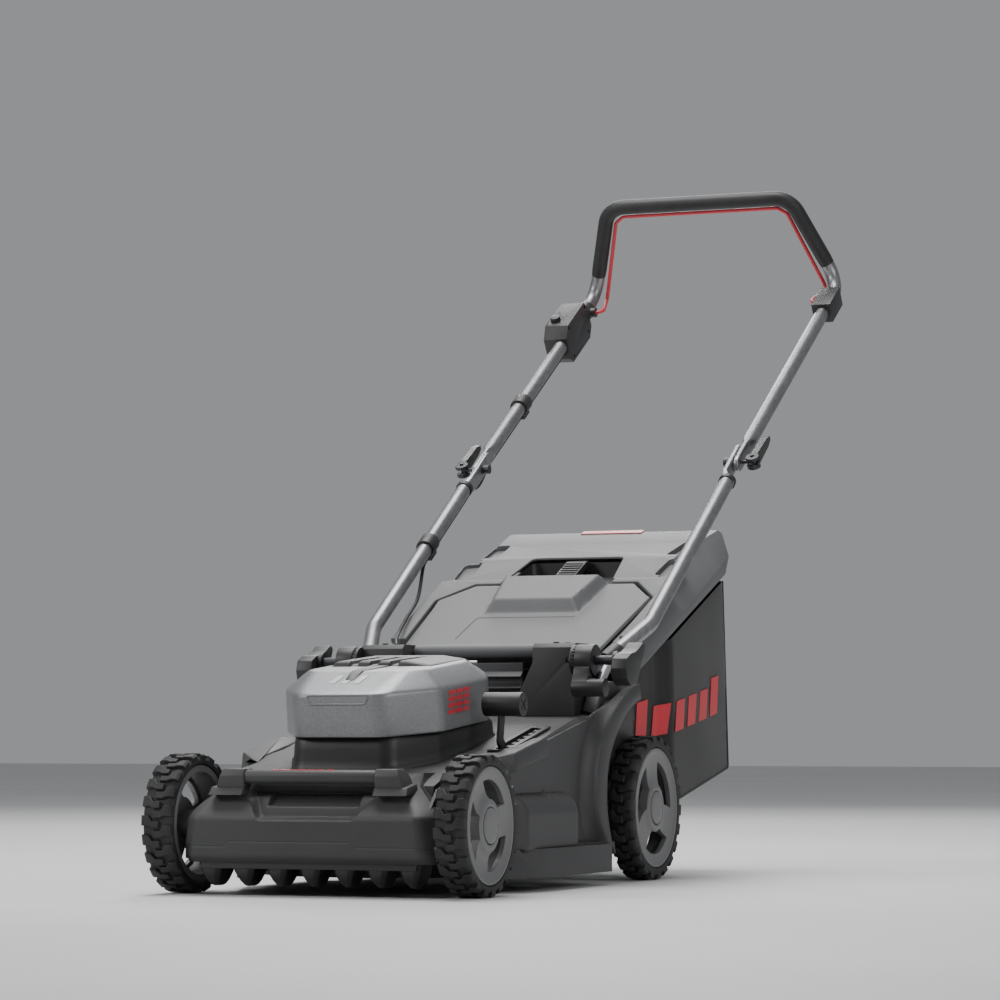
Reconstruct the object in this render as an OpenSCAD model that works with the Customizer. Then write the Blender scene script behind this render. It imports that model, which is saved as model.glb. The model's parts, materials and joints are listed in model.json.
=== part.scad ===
// Cordless rotary lawn mower with a rear grass bag, a folding handle and central height adjustment.
// Millimetres. +Z is up, -Y is the front of the mower, +X is the right side seen from the front.
// The origin is on the ground, midway along the whole length and on the centre plane.

/* [Wheels] */
// Outer radius of the front tyres
front_r = 89; // [87:0.5:90]
// Outer radius of the rear tyres
rear_r = 100; // [98:0.5:101]
// Width of a front wheel
front_w = 42; // [38:1:42]
// Width of a rear wheel
rear_w = 37; // [34:1:38]
// Number of tread blocks in one row
tread_count = 22; // [16:2:26]

/* [Axles] */
// Radius of the axle rods
axle_r = 6; // [5:0.5:6]
// Throw of the cranks that raise the deck
crank_throw = 50; // [44:1:50]
// Angle of the cranks above level at the lowest cut
crank_angle = 27.5; // [24:0.5:27.5]

/* [Deck] */
// Wall thickness of the deck
deck_t = 4; // [3:0.5:5]
// Outer radius of the blade chamber
chamber_r = 214; // [212:1:214]
// Length of the blade from tip to tip
blade_len = 376; // [360:2:390]

/* [Handle] */
// Outer radius of the handle tubes
tube_r = 11; // [10:0.5:11]
// Wall of the handle tubes
tube_t = 1.5; // [1:0.25:2]
// Radius of the switch bail rod
bail_r = 3; // [2.5:0.25:3]
// Radius of the motor cable
cable_r = 2.6; // [2:0.1:3]

/* [Bag] */
// Half width of the grass bag
bag_w = 188; // [184:1:188]
// Fabric wall of the bag
bag_t = 2.5; // [2:0.5:3]

/* [View] */
// Part to draw

/* [Hidden] */
$fn = 64;
// distance from the front axle to the middle of the whole length
mid_y = 700;
// front and rear wheel centres
front_x = 180 + front_w / 2;
rear_x = 178.5 + rear_w / 2;
rear_y = 610;
// running clearance of shafts in holes
run = 0.05;
// crank shafts, from the wheel centres
main_dy = crank_throw * cos(crank_angle);
main_dz = crank_throw * sin(crank_angle);
front_main = [-main_dy, front_r - main_dz];
rear_main = [rear_y - main_dy, rear_r - main_dz];
// link pins, from their pivots
pin_off = [-14.8, 28.4];
lever_pivot = [262, 134];
front_pin = front_main + pin_off;
rear_pin = rear_main + pin_off;
lever_pin = lever_pivot + pin_off;
// blade axis
blade_y = 262;
// handle pivots
fold = [441, 302];
mid = [972, 606];
// direction of the lower tube and of the upper tube
low_a = 33.72;
up_a = 32.55;
// flap hinge
flap_pin_at = [483, 316];
flap_slope = 26;
// switch bail pivot
bail_at = [1425, 894.6];
// lid hinge
lid_at = [288, 297];

// ---------- helpers ----------
module place() {
  translate([0, -mid_y, 0]) children();
}

// draws its children on both sides of the centre plane
module both() {
  children();
  mirror([1, 0, 0]) children();
}

// extrudes a (Y, Z) outline along X from x0 to x1
module along_x(x0, x1) {
  translate([x0, 0, 0])
    rotate([90, 0, 90])
      linear_extrude(height = x1 - x0) children();
}

// extrudes an (X, Z) outline along Y from y0 to y1
module along_y(y0, y1) {
  translate([0, y1, 0])
    rotate([90, 0, 0])
      linear_extrude(height = y1 - y0) children();
}

// round rod along X through p = [y, z]
module rod_x(x0, x1, p, r) {
  translate([x0, p[0], p[1]])
    rotate([0, 90, 0]) cylinder(r = r, h = x1 - x0);
}

function unit(v) = v / norm(v);

module rod_to(a, b, r) {
  d = b - a;
  translate(a)
    rotate([0, acos(d[2] / norm(d)), atan2(d[1], d[0])])
      cylinder(r = r, h = norm(d));
}

function bend_angle(a, p, b) = acos(unit(p - a) * unit(b - p));

// points along the rounded corner at p, k chords
function arc_pts(a, p, b, rad, k) =
  let (
    u = unit(p - a),
    w = unit(b - p),
    th = bend_angle(a, p, b),
    n = unit(w - (u * w) * u),
    c = p - rad * tan(th / 2) * u + rad * n
  )
  [for (i = [0 : k]) c - rad * cos(th * i / k) * n + rad * sin(th * i / k) * u];

function bend_pts(pts, rad, k) = [
  pts[0],
  for (i = [1 : 1 : len(pts) - 2])
    each arc_pts(pts[i - 1], pts[i], pts[i + 1], rad, k),
  pts[len(pts) - 1]
];

// round bar through the points, each corner rounded to radius rad with k chords
module bent(pts, rad, r, k = 2) {
  q = bend_pts(pts, rad, k);
  for (i = [0 : len(q) - 2]) rod_to(q[i], q[i + 1], r);
  for (i = [1 : 1 : len(q) - 2]) translate(q[i]) sphere(r = r + 0.12, $fn = 32);
}

// side directions carried along the tangents ts without twist
function carried(ts, i = 0, u = [1, 0, 0]) =
  i == len(ts) ? [] : let (v = unit(u - (u * ts[i]) * ts[i])) concat([v], carried(ts, i + 1, v));

// many-sided tube along the points
module swept_tube(pts, r, sides = 10) {
  last = len(pts) - 1;
  ts = [for (i = [0 : last]) unit(pts[min(i + 1, last)] - pts[max(i - 1, 0)])];
  us = carried(ts, 0, abs(ts[0][0]) > 0.9 ? [0, 0, 1] : [1, 0, 0]);
  rings = [
    for (i = [0 : last])
      for (k = [0 : sides - 1])
        pts[i] + r * cos(360 * k / sides) * us[i] + r * sin(360 * k / sides) * cross(ts[i], us[i])
  ];
  walls = [
    for (i = [0 : last - 1])
      for (k = [0 : sides - 1])
        let (a = i * sides + k, b = i * sides + (k + 1) % sides)
        [a, a + sides, b + sides, b]
  ];
  start_cap = [for (k = [0 : sides - 1]) k];
  end_cap = [for (k = [sides - 1 : -1 : 0]) last * sides + k];
  polyhedron(points = rings, faces = concat([start_cap, end_cap], walls));
}

// flat bar outline between two points with round ends
module bar2d(p, q, r) {
  d = q - p;
  translate(p) circle(r = r);
  translate(q) circle(r = r);
  translate(p) rotate([0, 0, atan2(d[1], d[0])]) translate([0, -0.95 * r]) square([norm(d), 1.9 * r]);
}

// point on the lower tube axis, s mm before the middle joint
function low_pt(s) = [211, mid[0] + s * cos(low_a), mid[1] + s * sin(low_a)];
function up_pt(s) = [211, mid[0] + s * cos(up_a), mid[1] + s * sin(up_a)];

// ---------- wheels ----------
module tyre_shape(r, rb, w) {
  e = w / 2;
  difference() {
    rotate_extrude($fn = 96)
      polygon([[rb, 3 - e], [rb + 4, -e], [r - 8, -e], [r, 6 - e], [r, e - 6], [r - 8, e], [rb + 4, e], [rb, e - 3]]);
    for (i = [0 : tread_count - 1]) {
      rotate([0, 0, (i + 0.5) * 360 / tread_count]) translate([r - 3.5, -1.8, -e - 1]) cube([12, 3.6, e]);
      rotate([0, 0, i * 360 / tread_count]) translate([r - 3.5, -1.8, 1]) cube([12, 3.6, e]);
    }
  }
}

// opening between two spokes, about the X axis
module window(r) {
  outer = 0.78 * r;
  polygon([
    for (a = [-40 : 5 : 40]) outer * [cos(a), sin(a)],
    for (a = [20 : -5 : -20]) 32 * [cos(a), sin(a)]
  ]);
}

module rim_shape(r, w) {
  e = w / 2;
  difference() {
    rotate_extrude($fn = 96)
      polygon([
        [axle_r + run, 2 - e], [16, 2 - e], [17, e - 14], [30, e - 12], [r - 9, e - 10], [r - 8, 2 - e], [r, 2 - e],
        [r, e], [r - 4, e], [r - 8, e - 5], [34, e - 7], [30, e - 4], [23.2, e - 4], [23.2, e - 9], [12, e - 9],
        [12, e - 12], [axle_r + run, e - 12]
      ]);
    for (i = [0 : 2]) rotate([0, 0, i * 120 + 72]) translate([0, 0, -e]) linear_extrude(height = 2 * e) window(r);
  }
}

module cap_shape(w) {
  e = w / 2;
  difference() {
    translate([0, 0, e - 8.7]) cylinder(r = 22.8, h = 9.2);
    translate([0, 0, e - 9]) cylinder(r = 12, h = 5.5);
  }
}

module wheel_pos(x, y, z) {
  place() translate([x, y, z]) rotate([0, 90, 0]) children();
}

module wheel_fr() {
  wheel_pos(front_x, 0, front_r) children();
}

module wheel_fl() {
  mirror([1, 0, 0]) wheel_fr() children();
}

module wheel_rr() {
  wheel_pos(rear_x, rear_y, rear_r) children();
}

module wheel_rl() {
  mirror([1, 0, 0]) wheel_rr() children();
}

module front_tyre() {
  color([0.07, 0.07, 0.07]) tyre_shape(front_r, 74, front_w);
}

module rear_tyre() {
  color([0.07, 0.07, 0.07]) tyre_shape(rear_r, 83, rear_w);
}

module front_rim() {
  color([0.4, 0.4, 0.4]) {
    rotate([0, 0, 81]) rim_shape(73.7, front_w);
    cap_shape(front_w);
  }
}

module rear_rim() {
  color([0.4, 0.4, 0.4]) {
    rotate([0, 0, 109]) rim_shape(82.7, rear_w);
    cap_shape(rear_w);
  }
}

// ---------- height adjustment ----------
module crank(main, hub, x_end) {
  both() {
    rod_x(0, 151, main, axle_r);
    along_x(151, 157) bar2d(main, hub, 9);
    rod_x(157, x_end, hub, axle_r);
  }
  along_x(151, 157) bar2d(main, main + pin_off, 8);
  rod_x(157, 163, main + pin_off, 4);
}

module front_crank() {
  color([0.3, 0.3, 0.32])
    place() {
      crank(front_main, [0, front_r], 180 + front_w - 5);
      nut_pair(180 + front_w, [0, front_r]);
    }
}

module rear_crank() {
  color([0.3, 0.3, 0.32])
    place() {
      crank(rear_main, [rear_y, rear_r], 178.5 + rear_w - 5);
      nut_pair(178.5 + rear_w, [rear_y, rear_r]);
    }
}

module nut_pair(x, p) {
  both()
    difference() {
      rod_x(x - 11.5, x - 5, p, 9.5, $fn = 6);
      rod_x(x - 13, x - 3, p, axle_r + 0.3);
    }
}

module link_outline() {
  bar2d(front_pin, [-25, 128], 6);
  bar2d([-25, 128], [10, 138], 6);
  bar2d([10, 138], [225, 138], 6);
  bar2d([225, 138], lever_pin, 6);
  bar2d(lever_pin, [270, 138], 6);
  bar2d([270, 138], [490, 138], 6);
  bar2d([490, 138], rear_pin, 6);
}

module link_rod() {
  color([0.35, 0.35, 0.37])
    place()
      difference() {
        along_x(158, 162) link_outline();
        for (p = [front_pin, lever_pin, rear_pin]) rod_x(150, 170, p, 4 + run);
      }
}

module height_arm() {
  color([0.08, 0.08, 0.08])
    place() {
      difference() {
        along_x(150, 154) {
          bar2d(lever_pivot, [194, 194], 8);
          bar2d([194, 194], [199, 222], 8);
          bar2d(lever_pivot, lever_pin, 8);
        }
        rod_x(148, 156, lever_pivot, 5 + run);
      }
      rod_x(154, 163, lever_pin, 4);
    }
}

module height_grip() {
  color([0.13, 0.13, 0.13])
    place()
      difference() {
        rod_x(130, 183, [199, 241], 15.5);
        along_x(181.5, 184)
          translate([199, 241])
            for (a = [45, 135]) rotate([0, 0, a]) square([20, 2.4], center = true);
        along_x(149.7, 154.3) translate([199, 222]) circle(r = 8.3);
        rod_x(181.5, 184, [199, 241], 3);
      }
}

module lever_post() {
  color([0.3, 0.3, 0.32])
    place() {
      difference() {
        along_x(136, 146) {
          translate([244, 122.4]) square([36, 12]);
          translate(lever_pivot) circle(r = 10);
        }
        rod_x(130, 150, lever_pivot, 5.3);
      }
      rod_x(134, 156, lever_pivot, 5);
      rod_x(130, 134, lever_pivot, 8);
    }
}

module height_rack() {
  color([0.1, 0.1, 0.1])
    place()
      difference() {
        along_x(138, 170)
          polygon([[184, 179.3], [203, 182.5], [326, 209.6], [326, 213], [203, 186.5], [184, 182]]);
        translate([147, 190, 150]) cube([10, 128, 90]);
        for (i = [0 : 6]) translate([156, 192 + i * 18.5, 150]) cube([7, 9, 90]);
      }
}

// ---------- deck ----------
module deck_plan(i) {
  polygon([
    [-150 + i, i - 62], [150 - i, i - 62], [150 - i, 95 + i], [200 - i, 145 + i], [200 - i, 430 - i],
    [172 - i, 455 - i], [172 - i, 630 - i], [i - 172, 630 - i], [i - 172, 455 - i], [i - 200, 430 - i],
    [i - 200, 145 + i], [i - 150, 95 + i]
  ]);
}

module deck_roof(i) {
  intersection() {
    along_x(-230, 230)
      polygon([
        [-62, 50 - i * 20], [630, 50 - i * 20], [630, 250 - i], [520, 234 - i], [440, 226 - i], [385, 222 - i],
        [203, 182 - i], [50, 158 - i], [10, 146 - i], [-14, 138 - i], [-26, 112 - i], [-32, 86 - i],
        [-62, 80 - i]
      ]);
    translate([0, 142, 152])
      rotate([10.8, 0, 0])
        along_y(-260, 540)
          polygon([
            [-240, -260], [240, -260], [240, -43], [200 - i, -i * 0.4], [172 - i, 30 - i * 0.4], [172 - i, 200],
            [i - 172, 200], [i - 172, 30 - i * 0.4], [i - 200, -i * 0.4], [-240, -43]
          ]);
  }
}

module deck_body(i) {
  intersection() {
    translate([0, 0, -50]) linear_extrude(height = 400) deck_plan(i);
    deck_roof(i);
  }
}

module flange_plan(i) {
  polygon([
    [i - 150, 40 + i], [150 - i, 40 + i], [190 - i, 125 + i], [217 - i, 195], [217 - i, 430 - i],
    [150 - i, 445 - i], [i - 150, 445 - i], [i - 217, 430 - i], [i - 217, 195], [i - 190, 125 + i]
  ]);
}

module chamber(r, top, bottom) {
  translate([0, blade_y, 0])
    rotate_extrude($fn = 128) {
      translate([0, bottom]) square([r, top - 26 - bottom]);
      translate([0, top - 26.01]) square([r - 26, 26.01]);
      intersection() {
        translate([r - 26, top - 26]) circle(r = 26, $fn = 48);
        translate([r - 26, top - 26.01]) square([26, 26.01]);
      }
    }
}

module deck_shell() {
  color([0.13, 0.13, 0.14])
    place() {
      wheel_arches();
      difference() {
        union() {
          difference() {
            union() {
              deck_body(0);
              translate([0, 0, 18]) linear_extrude(height = 37) flange_plan(0);
            }
            deck_body(deck_t);
            translate([0, 0, 10]) linear_extrude(height = 41) flange_plan(deck_t);
          }
          chamber(chamber_r, 122, 20);
        }
        chamber(chamber_r - deck_t, 118, 0);
        // motor opening
        translate([0, blade_y, 100]) cylinder(r = 62, h = 200);
        // lever slot and link passages
        translate([146, 190, 150]) cube([14, 130, 100]);
        translate([154, 92, 126]) cube([12, 62, 28]);
        // crank shafts, link and stub axles
        both() {
          rod_x(140, 240, front_main, 10.4);
          translate([160, 586, 20]) cube([20, 44, 106]);
        }
        // discharge into the bag
        translate([-128, 360, 40]) cube([256, 120, 60]);
        translate([-134, 600, 96]) cube([268, 60, 134]);
      }
    }
}

module discharge_chute() {
  color([0.1, 0.1, 0.1])
    place()
      difference() {
        along_x(-138, 138)
          polygon([[480, 56], [500, 60], [560, 90], [625, 98], [625, 226], [520, 226], [480, 218]]);
        along_x(-134.5, 134.5)
          polygon([[470, 58], [499, 64], [559, 94], [640, 102], [640, 250], [470, 250]]);
      }
}

// guards over the rear wheels
module wheel_arches() {
  both()
    intersection() {
      difference() {
        along_x(170, 206) translate([rear_y, rear_r]) circle(r = 168, $fn = 128);
        along_x(160, 210) translate([rear_y, rear_r]) circle(r = 122, $fn = 128);
        along_x(176.5, 210) translate([rear_y + 10, rear_r - 10]) circle(r = 156, $fn = 128);
      }
      along_x(170, 206)
        polygon([[457, 56], [470, 40], [590, 90], [640, 200], [626, 245], [540, 235], [457, 210]]);
    }
}

module recess_side(i) {
  polygon([
    [-90 + 16.5 * i, 97 - 3.2 * i], [-58 + i, 97 - 3.2 * i], [-40 + 2.8 * i, 106 - 2.2 * i],
    [-36.5 + 3 * i, 139], [-37 - i, 139.2], [-90 + 16.5 * i, 99]
  ]);
}

module shield_outline() {
  polygon([[-170, 40], [170, 40], [170, 101], [131, 143], [131, 170], [-131, 170], [-131, 143], [-170, 101]]);
}

module front_shield() {
  color([0.13, 0.13, 0.14])
    place() {
      lift_bar_ends();
      difference() {
        union() {
          intersection() {
            along_x(-170, 170)
              polygon([[-75, 46], [-75, 98], [-34, 143], [8, 152], [8, 148.6], [-32, 138.5], [-71, 95], [-71, 46]]);
            along_y(-90, 40) shield_outline();
          }
          intersection() {
            along_x(-100, 100) recess_side(1);
            along_y(-90, -30) polygon([[-66, 93], [66, 93], [89, 117], [89, 131], [-89, 131], [-89, 117]]);
          }
          // side cheeks
          both()
            intersection() {
              along_x(166, 170) polygon([[-72, 46], [-60, 46], [-40, 70], [-40, 128], [-72, 96]]);
              along_y(-90, 40) polygon([[160, 40], [170, 40], [170, 101], [131, 143], [100, 143]]);
            }
        }
        // hand recess under the lift bar
        intersection() {
          along_x(-100, 100) polygon([[-90, 97], [-58, 97], [-40, 106], [-36.5, 128], [-90, 128]]);
          along_y(-95, -30) polygon([[-64, 97], [64, 97], [86, 119], [86, 128], [-86, 128], [-86, 119]]);
        }
      }
    }
}

module lift_bar() {
  color([0.14, 0.14, 0.15]) place() both() rod_x(0, 90.5, [-52, 149], 9);
}

// blocks that hold the lift bar
module lift_bar_ends() {
  both() {
    intersection() {
      along_x(91, 133) polygon([[-63, 150], [-58, 159], [-36, 159], [-26, 150], [-26, 146], [-46, 131], [-60, 131]]);
      along_y(-80, 0) polygon([[91, 128], [131, 128], [119, 159], [91, 159]]);
    }
    intersection() {
      along_x(91, 140) polygon([[-68, 127], [-60, 135.8], [-40, 135.8], [-44, 127]]);
      along_y(-80, 0) polygon([[91, 120], [136, 120], [133, 140], [91, 140]]);
    }
  }
}

module grass_comb() {
  color([0.09, 0.09, 0.09])
    place() {
      along_x(-148, 148) polygon([[-70, 38], [-22, 30], [-22, 34], [-64, 45], [-70, 45]]);
      for (x = [-138, -92, -46, 0, 46, 92, 134])
        along_x(x, x + 4)
          polygon([[-62, 40], [-62, 24], [-52, 14], [-34, 11.5], [-16, 15], [-10, 26], [-24, 33]]);
    }
}

module axle_bearings() {
  both()
    for (p = [front_main, rear_main])
      difference() {
        rod_x(139, 150, p, 10);
        rod_x(138, 151, p, axle_r + run);
      }
}

// ---------- motor and blade ----------
module motor_housing() {
  color([0.55, 0.55, 0.57])
    place()
      translate([0, blade_y, 0])
        difference() {
          union() {
            translate([0, 0, 122.4]) cylinder(r = 78, h = 4.6);
            translate([0, 0, 126.9]) cylinder(r = 54, h = 55.1);
          }
          translate([0, 0, 127.5]) cylinder(r = 50.4, h = 50.5);
          cylinder(r = 9.1, h = 300);
          for (a = [45 : 90 : 315]) rotate([0, 0, a]) translate([70, 0, 0]) cylinder(r = 2.6, h = 200);
        }
}

module motor_stator() {
  color([0.7, 0.4, 0.2])
    place()
      translate([0, blade_y, 0])
        difference() {
          translate([0, 0, 130]) cylinder(r = 50, h = 40);
          translate([0, 0, 129]) cylinder(r = 30.5, h = 42);
        }
}

module bearing_at(z) {
  translate([0, blade_y, z])
    difference() {
      cylinder(r = 8.8, h = 4.6);
      translate([0, 0, -1]) cylinder(r = 5 + run, h = 8);
    }
}

module shaft_bearings() {
  color([0.75, 0.75, 0.75])
    place() {
      bearing_at(122.4);
      bearing_at(177.6);
      axle_bearings();
    }
}

// rotor core pressed on the shaft that carries the blade
module motor_rotor() {
  color([0.6, 0.6, 0.62])
    place()
      translate([0, blade_y, 0]) {
        translate([0, 0, 131]) cylinder(r = 29.7, h = 38);
        translate([0, 0, 30.6]) cylinder(r = 5, h = 155);
      }
}

module blade_holder() {
  color([0.2, 0.2, 0.2])
    place()
      translate([0, blade_y, 0])
        difference() {
          union() {
            translate([0, 0, 30.5]) cylinder(r = 34, h = 6);
            translate([0, 0, 36.4]) cylinder(r = 15, h = 18);
            for (a = [0 : 60 : 300])
              rotate([0, 0, a]) translate([14, -1.2, 36.4]) cube([18, 2.4, 9]);
          }
          translate([0, 0, 20]) cylinder(r = 5.3, h = 60);
        }
}

module blade_bar() {
  color([0.35, 0.35, 0.36])
    place()
      translate([0, blade_y, 0])
        difference() {
          union() {
            translate([-blade_len / 2, -24, 26.4]) cube([blade_len, 48, 3.8]);
            for (a = [0, 180])
              rotate([0, 0, a])
                translate([blade_len / 2 - 62, 18, 26.4])
                  rotate([28, 0, 0]) cube([60, 16, 3]);
          }
          translate([0, 0, 20]) cylinder(r = 5.3, h = 20);
        }
}

module blade_bolt() {
  color([0.55, 0.55, 0.55])
    place()
      translate([0, blade_y, 0]) {
        translate([0, 0, 17.4]) cylinder(r = 9, h = 6, $fn = 6);
        translate([0, 0, 23.4]) cylinder(r = 14, h = 2.6);
        translate([0, 0, 25.9]) cylinder(r = 5, h = 4.4);
      }
}

module motor_neck() {
  color([0.07, 0.07, 0.07])
    place()
      difference() {
        intersection() {
          linear_extrude(height = 400)
            polygon([[-52, 44], [52, 44], [96, 118], [98, 300], [70, 322], [-70, 322], [-98, 300], [-96, 118]]);
          along_x(-110, 110)
            polygon([[40, 158.6], [50, 158.8], [203, 182.6], [330, 210.7], [330, 217], [150, 199.5], [40, 196]]);
        }
        intersection() {
          linear_extrude(height = 400)
            polygon([[-49, 48], [49, 48], [92, 120], [94, 298], [68, 318], [-68, 318], [-94, 298], [-92, 120]]);
          along_x(-110, 110) polygon([[30, 140], [330, 140], [330, 250], [30, 250]]);
        }
      }
}

// ---------- hood ----------
module hood_ring(w, y0, yc, y1, y2, c) {
  polygon([
    [-c, y0], [c, y0], [w, yc], [w, y1], [w - 32, y2], [32 - w, y2], [-w, y1], [-w, yc]
  ]);
}

module hood_solid(i) {
  translate([0, 26, 198])
    rotate([5.7, 0, 0])
      hull() {
        translate([0, 0, -i * 4]) linear_extrude(height = 55 - i + i * 4) hood_ring(111 - i, i, 79, 226, 310 - i, 61 - i / 2);
        translate([0, 0, 55]) linear_extrude(height = 24 - i) hood_ring(84 - i, 66 + i, 96, 226, 290 - i, 66 - i / 2);
      }
}

module hood_shell() {
  color([0.55, 0.56, 0.58])
    place()
      difference() {
        hood_solid(0);
        hood_solid(3);
        // battery opening
        translate([-73, 156, 250]) cube([146, 146, 100]);
        rod_x(-76.2, 76.2, lid_at, 2.5 + run);
      }
}

// tray for the battery, with the electronics box beside it
module battery_bay() {
  color([0.08, 0.08, 0.08])
    place()
      difference() {
        union() {
          translate([-46, 164, 190]) cube([92, 126, 66]);
          translate([45, 175, 199]) cube([42, 100, 49]);
        }
        translate([-43, 167, 193]) cube([86, 120, 70]);
        translate([68, 225, 225]) cylinder(r = 5 + run, h = 40);
      }
}

module safety_key() {
  color([0.85, 0.15, 0.17])
    place() {
      translate([68, 225, 228]) cylinder(r = 5, h = 24);
      translate([66, 214, 252]) cube([4, 22, 14]);
    }
}

module battery_case() {
  color([0.12, 0.12, 0.12])
    place() {
      translate([-42, 168.5, 196]) cube([84, 117, 62]);
      translate([-18, 180, 258]) cube([36, 8, 10]);
      translate([-18, 266, 258]) cube([36, 8, 10]);
      translate([-18, 180, 268]) cube([36, 94, 5]);
    }
}

module battery_lid() {
  color([0.1, 0.1, 0.1])
    place() {
      difference() {
        along_x(-71, 71)
          polygon([[158, 283], [158, 291], [166, 296], [282, 305], [287, 303], [289, 292.5], [282, 290]]);
        for (i = [0 : 5]) translate([-56, 172 + i * 18, 290]) rotate([4.5, 0, 0]) cube([112, 8, 20]);
        rod_x(-80, 80, lid_at, 2.5 + run);
      }
    }
}

// ---------- rear blocks and flap ----------
// louvred wall between the two blocks
module rear_louvre() {
  along_x(-80, 80) polygon([[466, 230.4], [473, 231], [473, 252], [466, 252]]);
  along_x(-71.5, 71.5) {
    polygon([[468, 250], [473, 250], [473, 300], [468, 300]]);
    for (z = [284, 268, 252]) polygon([[460, z - 3], [469, z], [469, z + 5]]);
  }
}

module handle_blocks() {
  color([0.13, 0.13, 0.14])
    place() {
      difference() {
        union() {
          both()
            intersection() {
              along_x(60, 158)
                polygon([[441, 226.8], [502, 233.2], [502, 320], [496, 326], [447, 326], [441, 320]]);
              along_y(430, 510)
                polygon([[72, 220], [158, 220], [158, 330], [97, 330], [97, 300], [74, 252]]);
            }
          translate([-112, 470, 325]) cylinder(r = 6, h = 9.4);
        }
        both() {
          rod_x(80, 110, flap_pin_at, 4.3);
          rod_x(146, 160, fold, 3.3);
        }
        // gland for the motor cable
        translate([-112, 470, 326.8]) cylinder(r = 4.4, h = 9);
      }
      rear_louvre();
    }
}

module ratchet_discs() {
  color([0.08, 0.08, 0.08])
    place()
      both()
        difference() {
          rod_x(158.4, 165.5, fold, 21);
          rod_x(150, 170, fold, 3.3);
          for (i = [0 : 23])
            along_x(162, 166)
              translate(fold) rotate([0, 0, i * 15]) translate([19.5, -1.2]) square([4, 2.4]);
        }
}

// hinge pins of the rear flap and of the battery lid
module hinge_pins() {
  color([0.6, 0.6, 0.6])
    place() {
      both() rod_x(0, 108, flap_pin_at, 4);
      rod_x(-80, 80, lid_at, 2.5);
    }
}

// flap section: flat in the middle and sloping down at the sides, running back along the flap slope
module flap_prism(i, y1) {
  translate([0, 595, 337])
    rotate([flap_slope, 0, 0])
      along_y(-110, y1)
        polygon([
          [-151 + i, -21.5 - 15 * i], [151 - i, -21.5 - 15 * i], [151 - i, -19 - i], [119, -i], [-119, -i], [i - 151, -19 - i]
        ]);
}

module bump(i, h) {
  translate([0, 595, 337])
    rotate([flap_slope, 0, 0])
      hull() {
        translate([0, 0, -6]) linear_extrude(height = 5) polygon([[-74 + i, 84 + i], [74 - i, 84 + i], [74 - i, 200], [i - 74, 200]]);
        translate([0, 0, h - 1 - i]) linear_extrude(height = 1) polygon([[-63 + i, 104 + i], [63 - i, 104 + i], [63 - i, 200], [i - 63, 200]]);
      }
}

module flap_cut() {
  // outline of the flap seen along its own normal
  translate([0, 595, 337])
    rotate([flap_slope, 0, 0])
      translate([0, 0, -100])
        linear_extrude(height = 200)
          polygon([[-151, -97], [151, -97], [151, 176], [121, 199], [-121, 199], [-151, 176]]);
}

// hinge barrel along the front edge of the flap
module flap_barrel() {
  along_x(-94, 94) translate(flap_pin_at) circle(r = 10);
  along_x(-91.5, 91.5) polygon([[489, 308], [497, 291], [507, 292.4], [514, 297.4], [516, 300], [489.5, 318]]);
}

module rear_flap() {
  color([0.42, 0.42, 0.43])
    place()
      difference() {
        union() {
          difference() {
            intersection() {
              union() {
                flap_prism(0, 200);
                bump(0, 22);
              }
              flap_cut();
            }
            flap_prism(4, 230);
            bump(4, 22);
          }
          flap_barrel();
        }
        rod_x(-100, 100, flap_pin_at, 4 + run);
      }
}

// ---------- bag ----------
// outline of the lid seen from the side
module lid_side(i) {
  polygon([
    [596 + i, 286 - i * 9], [968, 437 - i * 9], [975 - i, 440 - i * 2], [1010 - i, 503 - i], [1004 - i, 507 - i],
    [858, 461.6 - i], [782, 428 - i], [782, 420.6 - i], [596 + i, 329.9 - i]
  ]);
}

module lid_section(i) {
  translate([0, 596, 330])
    rotate([24.4, 0, 0])
      along_y(-60, 600)
        polygon([
          [-190 + i, -90], [190 - i, -90], [190 - i, -38], [152 - i * 0.6, 14 - i], [i * 0.6 - 152, 14 - i], [i - 190, -38]
        ]);
}

module lid_solid(i) {
  difference() {
    intersection() {
      along_x(-190 + i, 190 - i) lid_side(i);
      lid_section(i);
    }
    // the part under the flap is lowered to leave room for it
    translate([0, 595, 337])
      rotate([flap_slope, 0, 0])
        difference() {
          translate([-153.5, -110, -28 - i]) cube([307, 311.5, 60 + i]);
          along_y(-120, 220)
            polygon([[-160, -90], [160, -90], [160, -26.5 - i], [152, -26.5 - i], [119, -5.5 - i], [-119, -5.5 - i], [-152, -26.5 - i], [-160, -26.5 - i]]);
        }
  }
}

module bag_lid() {
  color([0.36, 0.36, 0.37])
    place()
      difference() {
        lid_solid(0);
        lid_solid(3);
        // well for the bag handle
        translate([-66, 690, 340]) cube([132, 167, 200]);
      }
}

module bag_handle() {
  color([0.2, 0.2, 0.2])
    place() {
      along_x(-16, 16)
        polygon([
          [857.5, 440], [870, 440], [870, 452], [860, 457.6], [852, 456], [780, 422], [700, 382.6], [690.3, 377.8],
          [690.3, 366], [692, 368], [702, 374], [782, 412.6], [856, 446.5]
        ]);
    }
}

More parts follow.
